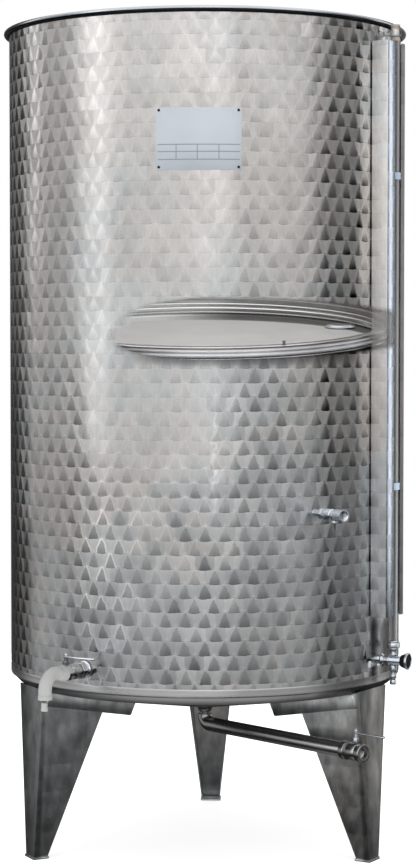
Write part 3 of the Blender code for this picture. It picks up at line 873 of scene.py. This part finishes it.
def buildOutlet():
    cfg, across = outlet, outward(gauge["azimuth"], outlet["z"])
    r, start, end = cfg["radius"], tank["radius"] + gap, cfg["end"]
    mr, br, tip = cfg["mouthRadius"], cfg["boreRadius"], cfg["mouthEnd"]
    fitSteel("outlet_pipe", across, [(r + more, start + out) for more, out in cfg["pipe"]] + [(r, end)])
    seal = turned("outletSeal", [(r + 0.0022, end + 0.0002), (r + 0.0030, end + 0.0010),
                                 (mr - 0.0022, tip - 0.0085), (mr - 0.0022, tip - 0.0062)])
    show(place(seal, across), "pale_rubber", "blackRubberAndShade")
    fitSteel("outlet_mouth", across,
             [(mr - 0.0020, tip - 0.0060), (mr, tip - 0.0050), (mr, tip - 0.0008), (mr - 0.0008, tip),
              (br + 0.0012, tip), (br, tip - 0.0010), (br, tip - 0.0045), (br - 0.004, tip - 0.0045)], 56)
    # a black disc in the bore stands for the shade inside it
    dark = turned("mouthShadow", [(br - gap, tip - 0.0042), (br - gap, tip - 0.0012),
                                  (br - 0.003, tip - 0.0008)])
    show(place(dark, across), "pale_rubber", "blackRubberAndShade")

    cr, low, top = cfg["cockRadius"], cfg["cockLow"], cfg["z"] - r - gap
    body = turned("gaugeCock", scaled(cr, low, cfg["cock"]) + [(cr, top - 0.002), (cr * 0.8, top)], 32)
    cap = hexagon("cockCap", cr, low, low + 0.0110, 0.0008, 0.0003)
    cock = place(join([body, cap], "gaugeCock"), spoke(gauge["azimuth"], gauge["x"]))
    show(cock, "polished_steel", "polished", "gauge_cock")


# Stubs, stems and levers, alike on the taps and the drain

handle = {
    "wide": 0.011,
    "thick": 0.0035,
    "nut": (0.85, 0.0042),       # as a share of half the lever's width, and its height
    "bolt": ((0.42, 0.0040), (0.42, 0.0062), (0.30, 0.0068)),
    "packing": 0.55,             # the packing nut's share of the stem
}


def buildStub(node, cfg, sides):
    # From its weld at the wall to the fitting's first face
    weld = cfg["stub"]
    stations = [*weld, (weld[-1][0], cfg["body"][0] - 0.0002)]
    fitSteel(node, outward(cfg["azimuth"], cfg["z"]), stations, sides)


def lever(name, z, long):
    # A flat lever that runs along its own X, with round ends, a nut and a bolt
    half, thick = handle["wide"] / 2, handle["thick"]
    deselectAll()
    bpy.ops.mesh.primitive_cylinder_add(vertices=32, radius=half, depth=thick, location=(0, 0, z))
    piece = settle()
    bpy.ops.object.mode_set(mode="EDIT")
    bm = bmesh.from_edit_mesh(piece.data)
    for vert in bm.verts:
        vert.select_set(vert.co.x > 1e-4)
    bm.select_flush(True)
    bmesh.update_edit_mesh(piece.data)
    bpy.ops.transform.translate(value=(long - handle["wide"], 0, 0))
    bpy.ops.object.mode_set(mode="OBJECT")
    finishMesh(piece, name, 0.0007, 2)
    top = z + thick / 2
    share, tall = handle["nut"]
    nut = hexagon("leverNut", half * share, top, top + tall, 0.0006, 0.0003)
    bolt = turned("leverBolt", scaled(half, top, handle["bolt"]), 20, rounding=0)
    return join([piece, nut, bolt], name)


def stem(name, radius, low, high):
    # Packing nut below, plain spindle above
    tall = high - low
    nut = hexagon(name, radius * 1.55, low, low + tall * handle["packing"], 0.0006, 0.0003)
    spindle = turned("spindle", [(radius * 0.8, low + tall * 0.5), (radius * 0.8, high)], 24, rounding=0)
    return join([nut, spindle], name)


def buildHandle(which, cfg):
    hinge, body, z = spoke(cfg["azimuth"], cfg["stemX"]), f"{which}_handle", cfg["leverZ"]
    radius, above, look = cfg["stem"]
    top = z - handle["thick"] / 2 - gap
    spindle = stem(f"{which}Stem", radius, cfg["z"] + cfg["radius"] + above, top)
    show(place(spindle, hinge), "polished_steel", look, f"{which}_stem", body=body)
    turn = Matrix.Rotation(math.radians(cfg["leverTurn"]), 4, "Z")
    flat = place(lever(f"{which}Lever", z, cfg["leverLong"]), hinge @ turn)
    show(flat, "polished_steel", "polished", f"{which}_lever", body=body)


# Ball valve with the white spout

tap = {
    "azimuth": -35.6,
    "z": 0.4605,
    "stub": ((0.0190, 0.4604), (0.0165, 0.4622), (0.0135, 0.4634)),      # radius, from the axis
    "body": (0.4680, 0.5290),
    "radius": 0.0180,
    "stem": (0.0055, gap, "darkSteel"),      # radius, foot above the body, look
    "stemX": 0.5235,
    "leverZ": 0.4955,
    "leverLong": 0.0860,
    "leverTurn": 90,
    "elbowX": 0.5975,
    "elbowRadius": 0.0152,
    "elbowLow": 0.4036,
    # straight runs with their length and end radius, bends with their angle and radius
    "union": ((0.0006, 1.14), (0.0070, 1.14), (0.0006, 1.02), (0.0012, 1.02), (0.0006, 1.08), (0.0030, 1.08),
              (0.0006, 0.95)),
    "firstBend": (20, 0.0150),
    "secondBend": (-110, 0.0345),
    "outlet": ((0.0100, 0.96), (0.0006, 1.03), (0.0085, 1.03), (0.0005, 0.93)),
    "nozzleRadius": 0.0078,
    "nozzleLow": 0.3855,
    "nozzle": ((0.72, 0.004), (0.72, 0), (0.94, 0), (1, 0.0012), (1, 0.006), (0.88, 0.0075)),
}


def ballValve(name, cfg):
    # Hexagon, groove, barrel, groove and hexagon along the pipe
    start, end = cfg["body"]
    r, long = cfg["radius"], end - start
    first, last = start + long * 0.24, end - long * 0.20
    return join([hexagon(name, r * 1.09, start + 0.0002, first, rounding=0.0006),
                 turned("valveGroove", [(r * 0.80, first - 0.001), (r * 0.80, last + 0.001)], rounding=0),
                 barrel(r, first + 0.0015, last - 0.0015, r * 0.84),
                 hexagon("valveEnd", r * 1.07, last, end - 0.0002, rounding=0.0006)], name)


def buildTap():
    cfg = tap
    buildStub("tap_stub", cfg, 48)
    body = place(ballValve("tapBody", cfg), outward(cfg["azimuth"], cfg["z"]))
    show(body, "polished_steel", "valve", "tap_body")

    er = cfg["elbowRadius"]
    union, spout = [[("go", long, er * share) for long, share in cfg[part]] for part in ("union", "outlet")]
    between = ("go", 0.0010, er * 0.96)
    moves = [*union, ("bend", *cfg["firstBend"]), between, ("bend", *cfg["secondBend"]), *spout]
    elbow = pipe("tapElbow", er * 0.95, (cfg["body"][1] + gap, 0, cfg["z"]), 0, moves)
    show(place(elbow, spoke(cfg["azimuth"])), "white_plastic", "plastic", "tap_elbow")
    nr = cfg["nozzleRadius"]
    nozzle = scaled(nr, cfg["nozzleLow"], cfg["nozzle"]) + [(nr * 0.88, cfg["elbowLow"] - gap)]
    fit("tap_nozzle", spoke(cfg["azimuth"], cfg["elbowX"]), "white_plastic", "plastic", nozzle, 40)
    buildHandle("tap", cfg)


# Sample tap

sample = {
    "azimuth": 31.9,
    "z": 0.8090,
    "stub": ((0.0092, 0.4604), (0.0086, 0.4616), (0.0078, 0.4626)),
    "body": (0.4840, 0.5400),
    "radius": 0.0130,
    "hexLong": 0.010,
    "barrelNear": ((0.80, 0.0095), (0.80, 0.0125), (0.97, 0.0135)),
    "barrelFar": ((0.97, -0.0140), (0.82, -0.0128), (0.82, -0.0105), (0.95, -0.0095), (0.95, -0.0004)),
    "knobRadius": 0.0133,
    "knobEnd": 0.5690,
    "spoutX": 0.5330,
    "spoutRadius": 0.0043,
    "spoutLow": 0.7743,
    "ridges": 32,
}


def buildSampleTap():
    cfg = sample
    across = outward(cfg["azimuth"], cfg["z"])
    start, end = cfg["body"]
    r = cfg["radius"]
    buildStub("sample_stub", cfg, 36)
    stations = scaled(r, start, cfg["barrelNear"]) + scaled(r, end, cfg["barrelFar"])
    body = [hexagon("sampleBody", r * 1.02, start, start + cfg["hexLong"], 0.0008, 0.0004),
            turned("bodyBarrel", stations, 44)]
    show(place(join(body, "sampleBody"), across), "polished_steel", "polished", "sample_body")

    knob = knurledKnob("sampleKnob", cfg["knobRadius"], end + gap, cfg["knobEnd"], cfg["ridges"])
    show(place(knob, across), "polished_steel", "polished", "sample_knob", body="sample_knob")

    sr, low, top = cfg["spoutRadius"], cfg["spoutLow"], cfg["z"] - r
    spout = scaled(sr, low, ((0.6, 0.003), (0.6, 0), (0.95, 0), (1, 0.0008)))
    spout += scaled(sr, top, ((1, -0.006), (1.5, -0.005), (1.5, -gap)))
    fitSteel("sample_spout", spoke(cfg["azimuth"], cfg["spoutX"]), spout, 28)


def knurledKnob(name, radius, low, high, ridges):
    # A cylinder with every other side face pushed out, and a dished face
    deselectAll()
    bpy.ops.mesh.primitive_cylinder_add(vertices=ridges * 2, radius=radius * 0.95, depth=high - low,
                                        location=(0, 0, (high + low) / 2))
    knob = settle()
    bpy.ops.object.mode_set(mode="EDIT")
    bpy.ops.mesh.select_mode(type="FACE")
    bm = bmesh.from_edit_mesh(knob.data)
    for face in bm.faces:
        middle = face.calc_center_median()
        turn = math.degrees(math.atan2(middle.y, middle.x)) / (180 / ridges)
        face.select_set(abs(face.normal.z) < 0.5 and round(turn - 0.5) % 2 == 0)
    bmesh.update_edit_mesh(knob.data)
    bpy.ops.mesh.extrude_faces_move(TRANSFORM_OT_shrink_fatten={"value": radius * 0.05})
    bm = bmesh.from_edit_mesh(knob.data)
    for face in bm.faces:
        face.select_set(face.normal.z > 0.9 and len(face.verts) > 8)
    bmesh.update_edit_mesh(knob.data)
    bpy.ops.mesh.inset(thickness=radius * 0.22, depth=0)
    bpy.ops.mesh.inset(thickness=radius * 0.10, depth=-0.0012)
    bpy.ops.object.mode_set(mode="OBJECT")
    return finishMesh(knob, name, 0.0002, 1)


# Drain under the cone

drain = {
    "azimuth": 42.0,
    "z": 0.2750,
    "stubRadius": 0.0118,
    "stubFlare": ((0, -0.008), (0.003, -0.007), (0.006, -0.0004)),
    "pipeRadius": 0.01685,
    "pipeLead": 0.003,
    "bendRadius": 0.0200,
    "body": (0.4630, 0.5255),
    "radius": 0.0192,
    "ring": ((1.07, 0), (1.09, 0.002), (1.09, 0.012), (1.07, 0.014)),
    "tail": ((0.84, -0.0155), (1.03, -0.0150), (1.06, -0.0135), (1.06, -0.001), (1.02, 0)),
    "boreRadius": 0.0130,
    "boreDeep": 0.012,
    "stem": (0.0046, 0.0012, "polished"),
    "stemX": 0.5007,
    "leverZ": 0.3185,
    "leverLong": 0.0930,
    "leverTurn": 0,
}


def buildDrain():
    cfg = drain
    frameAt = spoke(cfg["azimuth"])
    top, bend, lead = cone["z"] - cone["slope"] * cone["radius"], cfg["bendRadius"], cfg["pipeLead"]
    bendTop, sr, pr = cfg["z"] + bend + lead, cfg["stubRadius"], cfg["pipeRadius"]
    stub = [(sr, bendTop + gap)] + [(sr + more, top + up) for more, up in cfg["stubFlare"]]
    fitSteel("drain_stub", frameAt, stub, 44, "satin")
    start, end = cfg["body"]
    moves = [("go", lead, pr), ("bend", 90, bend), ("go", start - gap - bend, pr)]
    bottomPipe = pipe("drainPipe", pr, (0, 0, bendTop), -90, moves, gap)
    show(place(bottomPipe, frameAt), "plain_steel", "grey", "drain_pipe")

    r, br, deep = cfg["radius"], cfg["boreRadius"], cfg["boreDeep"]
    tail = [(r * 0.84, start + 0.013), *scaled(r, end, cfg["tail"]), (br, end), (br, end - deep),
            (br * 0.7, end - deep - 0.002)]
    valve = join([turned("drainValve", scaled(r, start, cfg["ring"])),
                  barrel(r, start + 0.0145, end - 0.015, r * 0.86), turned("valveTail", tail)], "drainValve")
    show(place(valve, outward(cfg["azimuth"], cfg["z"])), "polished_steel", "grey", "drain_valve")
    buildHandle("drain", cfg)


# Name plate, left bare but for an empty table

namePlate = {
    "azimuth": -1.72,
    "z": 1.6233,
    "ruleHeights": (-0.0128, -0.0281, -0.0450),
    "ruleHalf": 0.0888,
    "ruleWide": 0.0007,
    "postPlaces": (-0.0486, -0.0029, 0.0438),
    "rivetInset": 0.0062,
    "rivetRadius": 0.0030,
    "rivetHead": ((1, 0), (0.92, 0.0007), (0.6, 0.0013), (0.2, 0.0016)),
    "rivetOut": 0.0014,
}


def plateMetal(name):
    cfg = namePlate
    made, shader, where = newMaterial(name, metallic=0.35)
    x, y, z = where.axes()
    angle = x.maths("ARCTAN2", axisY - y) - math.radians(cfg["azimuth"])
    across, up = angle * tank["radius"], z - cfg["z"]
    thin, soft, half = cfg["ruleWide"], cfg["ruleWide"] + 0.0007, cfg["ruleHalf"]
    low, high = min(cfg["ruleHeights"]), max(cfg["ruleHeights"])

    def lined(along, places):
        made = along * 0.0
        for place in places:
            made = made.maths("MAXIMUM", abs(along - place).fading(thin, soft))
        return made

    rules = lined(up, cfg["ruleHeights"]) * abs(across).fading(half, half + 0.001)
    posts = lined(across, cfg["postPlaces"]) * up.between(low - 0.001, low) * up.fading(high, high + 0.001)
    lines = rules.maths("MAXIMUM", posts)
    blotch = where.noise(14.0, 3.0)
    pale = blotch.blend((0.50, 0.55, 0.62, 1), (0.62, 0.66, 0.70, 1))
    feed(shader, Base_Color=(lines * 0.6).blend(pale, (0.12, 0.14, 0.18, 1)),
         Roughness=0.32 + blotch * 0.15, Normal=bump(blotch * 0.0002 - lines * 0.00015))
    return made


def buildNamePlate():
    cfg = namePlate
    show(refined("namePlate", "name_plate", 0.0003, 2), "plate_metal", "plate", "name_plate")
    low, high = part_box("name_plate")
    halfWide, _, halfTall = (high - low) / 2 - Vector((1, 1, 1)) * cfg["rivetInset"]
    rivets = []
    for sideways in (-1, 1):
        for upward in (-1, 1):
            rivet = turned("plateRivet", scaled(cfg["rivetRadius"], 0, cfg["rivetHead"]), 20, rounding=0)
            azimuth = cfg["azimuth"] + math.degrees(sideways * halfWide / tank["radius"])
            at = outward(azimuth, cfg["z"] + upward * halfTall)
            rivets.append(place(rivet, at @ Matrix.Translation((0, 0, tank["radius"] + cfg["rivetOut"]))))
    show(join(rivets, "plateRivets"), "plate_metal", "blackRubberAndShade")


# Floating lid

lid = {
    "z": 1.2360,
    "tilt": 8.2,
    "radius": 0.448,
    "depth": 0.045,
    "sheet": 0.0028,
    "channel": 0.4265,
    "channelDepth": 0.028,
    "beads": ((-0.0150, 0.0030), (-0.0262, 0.0034), (-0.0358, 0.0018)),   # place and half height
    "beadProud": 0.0022,
    # painted dark lines along the grooves and painted highlights on the rolls round the inside: depth, half
    # width and gain of each line
    "lines": ((-0.0113, 0.0010, -0.35), (-0.0216, 0.0006, -0.25), (-0.0262, 0.0024, 0.18),
              (-0.0320, 0.0006, -0.45), (-0.0358, 0.0008, 0.15), (-0.0410, 0.0024, -0.45)),
    "panRadius": 0.4237,
    "panStep": 0.018,
    "panShadow": (0.085, 0.110),           # the far wall's shadow, from the pan's edge
    # the far strip's tone from left to right: a painted highlight at the left, painted shadow to the right
    "panShadowTone": (-0.14, 0.10, 1.10, 0.22),
    "hoseSteps": 16,
    "capAt": (0.3320, 0.1850),
    "capRadius": 0.0387,
    "capTall": 0.008,
    "capFoot": 0.0018,
    "cap": ((1, 0.45), (0.93, 0.6), (0.86, 0.6), (0.80, 0.9), (0.6, 1), (0.2, 1)),
    "valveAt": (0.1733, -0.4000),
    "valveRadius": 0.0045,
    "valveTall": 0.009,
}


def lidDepth(y, z):
    return z - lid["z"] - (y - axisY) * math.tan(math.radians(lid["tilt"]))


def lidPaintedLines(x, y, z):
    depth = lidDepth(y, z)
    tone = 1.0 + depth * 0.0
    for middle, half, gain in lid["lines"]:
        tone = tone + abs(depth - middle).between(half, half + 0.0008, gain, 0.0)
    return tone


def lidPanTone(x, y, z):
    reach = (lid["panRadius"] ** 2 - x * x).maths("MAXIMUM", 0.0).maths("SQRT")
    margin = reach - (y - axisY)
    return margin.between(*lid["panShadow"]).pick(1.0, x.between(*lid["panShadowTone"]))


def lidPlace(x=0.0, y=0.0, z=0.0):
    tilt = Matrix.Rotation(math.radians(lid["tilt"]), 4, "X")
    return onAxis @ Matrix.Translation((0, 0, lid["z"])) @ tilt @ Matrix.Translation((x, y, z))


def fitLid(node, at, slot, look, stations, sides=192, **shape):
    fit(node, lidPlace(*at), slot, look, stations, sides, "lid", **shape)


def buildLid():
    cfg = lid
    r, t, depth, channel = cfg["radius"], cfg["sheet"], cfg["depth"], cfg["channel"]
    floor, shelf, web = t - depth, t - cfg["channelDepth"], channel - t
    stations = [(channel, -depth), (channel, shelf - t), (r, shelf - t), (r, shelf), (channel, shelf),
                (channel, -t), (r, -t), (r, 0), (web, 0)]
    for bead, half in cfg["beads"]:
        inner = web - cfg["beadProud"]
        stations += [(web, bead + half), (inner, bead + half * 0.4), (inner, bead - half * 0.4),
                     (web, bead - half)]
    stations.append((web, -depth))

    fitLid("lid_channel", (), "plain_steel", "lidSheet", stations, ring=True, angle=40)

    edge = web - gap
    step = edge - cfg["panStep"]
    pan = [(edge, -depth), (edge, floor + 0.002), (edge - 0.002, floor + 0.0026), (step, floor + 0.0026),
           (step - 0.003, floor), (0.05, floor)]
    fitLid("lid_pan", (), "plain_steel", "lidPan", pan, angle=40)

    low, high = shelf + gap, -t - gap
    inner, reach, tall = channel + 0.0004, r - 0.0024 - channel, high - low
    stations = [(inner, low + 0.003), (inner + 0.003, low)]
    for number in range(cfg["hoseSteps"] + 1):
        share = number / cfg["hoseSteps"]
        bulge = abs(math.sin(2 * math.pi * share)) ** 0.6       # creased along its middle
        stations.append((inner + reach * (0.45 + 0.55 * bulge) - 0.0004, low + tall * share))
    stations += [(inner + 0.003, high), (inner, high - 0.003)]
    fitLid("lid_hose", (), "pale_rubber", "hose", stations, 160, ring=True, rounding=0, angle=60)

    cr, ct = cfg["capRadius"], cfg["capTall"]
    cap = [(cr, cfg["capFoot"])] + [(cr * share, ct * up) for share, up in cfg["cap"]]
    fitLid("lid_cap", (*cfg["capAt"], floor), "plain_steel", "polished", cap, 56)
    vr, vt = cfg["valveRadius"], cfg["valveTall"]
    airValve = scaled(vr, 0, ((1, gap), (1, 0.002), (0.6, 0.0026)))
    airValve += scaled(vr, vt, ((0.6, -0.004), (0.9, -0.0034), (0.9, -0.0008), (0.6, 0)))
    fitLid("lid_air_valve", cfg["valveAt"], "polished_steel", "darkSteel", airValve, 28)


# Stage: floor, camera, lights

stage = {
    "floorRadius": 3.2,
    "cameraBack": 5.22,
    "cameraHigh": 1.186,
    "cameraPitch": 2.36,
    "lens": 91.6,
    "shiftX": 3 / 864,
    "lampAt": (0, -0.5, 4.6),
    "lampWide": 4.0,
    "lampPower": 420,
}

# What the steel reflects. Each light is an upright panel: its azimuth from the front, half
# width and soft margin in degrees, the height where its foot fades in, and its brightness.
studio = {
    "room": 0.06,
    "floorDark": 0.30,
    "floorEdge": (-22.0, -9.0),
    "floorUnder": 0.40,
    "underEdge": (-72.0, -42.0),
    "ceiling": 1.15,
    "ceilingEdge": (24.0, 50.0),
    "footSoft": 3,
    "panels": {
        "frontRoom": (-28, 92, 12, -20, 0.38),
        "frontWall": (-14, 26, 10, -9, 0.46),
        "leftWall": (-62, 12, 8, -5, 0.30),
        "leftSoftbox": (-65, 5, 5, -4.5, 1.0),
        "leftStrip": (-117, 3, 4, 0, 1.00),
        "doorway": (2, 6, 6, -1, 0.26),
        "rightUpper": (34, 30, 12, 2, 0.30),
        "rightWindow": (45, 9, 9, -1, 0.22),
        "rightSide": (150, 66, 12, -14, 0.15),
        "rightGlow": (122, 7, 4, -16, 0.85),
        "highWall": (0, 70, 12, 3, 0.20),
    },
}


def buildFloor():
    deselectAll()
    bpy.ops.mesh.primitive_circle_add(vertices=96, radius=stage["floorRadius"], fill_type="NGON",
                                      location=(0, 0, footZ))
    floor = bpy.context.object
    floor.name = "studioFloor"
    made, shader, where = newMaterial("paleFloor", Roughness=0.7, Emission_Strength=1.0)
    mottle = where.noise(3.0, 3.0)
    feed(shader, Base_Color=mottle.blend(grey(0.36), grey(0.38)),
         Emission_Color=mottle.blend(grey(0.82), grey(0.84)))
    floor.data.materials.append(made)
    floor.visible_glossy = False          # the steel shows the room, not the white floor
    return floor


def buildWorld():
    world = bpy.data.worlds.new("studioWorld")
    bpy.context.scene.world = world
    world.use_nodes = True
    tree = world.node_tree
    start = Wire(tree)
    x, y, z = start.node("ShaderNodeTexCoord", output="Generated").axes()
    azimuth = x.maths("ARCTAN2", 0.0 - y) * (180 / math.pi)
    height = z.maths("ARCSINE") * (180 / math.pi)
    level = z * 0.0 + studio["room"]
    footSoft = studio["footSoft"]
    for middle, half, soft, foot, bright in studio["panels"].values():
        level = level + (abs(azimuth - middle).fading(half, half + soft)
                         * height.between(foot - footSoft, foot + footSoft, 0.0, bright))
    level = level * height.between(*studio["floorEdge"], studio["floorDark"], 1.0)
    level = level + height.between(*studio["underEdge"], studio["floorUnder"], 0.0)
    level = height.between(*studio["ceilingEdge"]).pick(studio["ceiling"], level)
    camera = start.node("ShaderNodeLightPath", output="Is Camera Ray")
    seen = camera.blend(level.vector(level, level, level), (1, 1, 1, 1))
    tree.links.new(seen.socket, tree.nodes["Background"].inputs["Color"])


def buildLamp(lit):
    # A softbox overhead that lights the floor only
    light = bpy.data.lights.new("overhead", "AREA")
    light.shape = "RECTANGLE"
    light.size = light.size_y = stage["lampWide"]
    light.energy = stage["lampPower"]
    lamp = bpy.data.objects.new("overhead", light)
    bpy.context.scene.collection.objects.link(lamp)
    lamp.location = stage["lampAt"]
    lamp.rotation_euler = (-Vector(stage["lampAt"])).to_track_quat("-Z", "Y").to_euler()
    lamp.visible_camera = False
    floorLit = bpy.data.collections.new("floorLit")
    floorLit.objects.link(lit)
    lamp.light_linking.receiver_collection = floorLit


def buildCamera():
    data = bpy.data.cameras.new("photoCamera")
    data.lens = stage["lens"]
    data.sensor_width = 36
    data.shift_x = stage["shiftX"]
    camera = bpy.data.objects.new("photoCamera", data)
    bpy.context.scene.collection.objects.link(camera)
    camera.location = (0, axisY - stage["cameraBack"], stage["cameraHigh"])
    camera.rotation_euler = (math.radians(90 - stage["cameraPitch"]), 0, 0)
    bpy.context.scene.camera = camera


def guardView(x, y, z):
    return cutawayView(x, y, z, guard["through"])


# a bluish cast in the steel's colour, standing for the sky it reflects
skyReflectionTint = (0.93, 0.98, 1.05)
looks = {
    "shell": marbledSteel("marbledShell", onWall, 0.66, window=cutawayView),
    "guard": marbledSteel("marbledGuard", onGuard, **guard["finish"], window=guardView),
    "satin": satinSteel("satinSteel"),
    "rim": satinSteel("rimSteel", rough=0.20, tint=skyReflectionTint, darkened=shadeOf("underRim")),
    "band": satinSteel("bandSteel", 0.69, darkened=shadeOf("band")),
    "chamfer": satinSteel("chamferSteel", 0.62, darkened=shadeOf("chamfer")),
    "seam": satinSteel("seamSteel", 0.66, 0.26),
    "valve": satinSteel("valveSteel", 0.46, 0.16, 0.05),
    "polished": satinSteel("polishedSteel", 0.76, 0.13, 0.03, tint=skyReflectionTint),
    "darkSteel": satinSteel("darkSteel", 0.22, 0.32),
    "lidPan": satinSteel("lidPanSteel", 0.92, 0.60, 0.01, (1, 1, 1), darkened=lidPanTone),
    "lidSheet": satinSteel("lidSheet", 0.90, 0.22, 0.02, (1, 1, 1), darkened=lidPaintedLines),
    "grey": satinSteel("greySteel", 0.42, 0.26),
    "plastic": mouldedPlastic("whitePlastic", (0.42, 0.42, 0.415)),
    "hose": mouldedPlastic("paleRubber", (0.78, 0.78, 0.80), 0.18, shadeOf("hose")),
    "blackRubberAndShade": mouldedPlastic("blackRubberAndShade", (0.010, 0.010, 0.012), 0.7, Specular_IOR_Level=0.1),
    "clipPlastic": mouldedPlastic("paleBluePlastic", (0.55, 0.68, 0.84), 0.35),
    "beigePlastic": mouldedPlastic("beigePlastic", (0.52, 0.47, 0.41), 0.5),
    "clear": clearPlastic("clearTube"),
    "plate": plateMetal("plateMetal"),
}
for number, azimuth in legs["azimuths"].items():
    looks[f"leg{number}"] = marbledSteel(f"marbledLeg{number}", onLeg(azimuth), **legs["finish"])
print("materials made:", len(looks))

buildCamera()
buildWorld()
buildLamp(buildFloor())
bpy.context.scene.view_settings.view_transform = "Standard"
for build in (buildShell, buildRim, buildBandAndBottom, buildLegs, buildGauge, buildOutlet, buildTap,
              buildSampleTap, buildDrain, buildNamePlate, buildLid):
    build()
    print(build.__name__, "done")
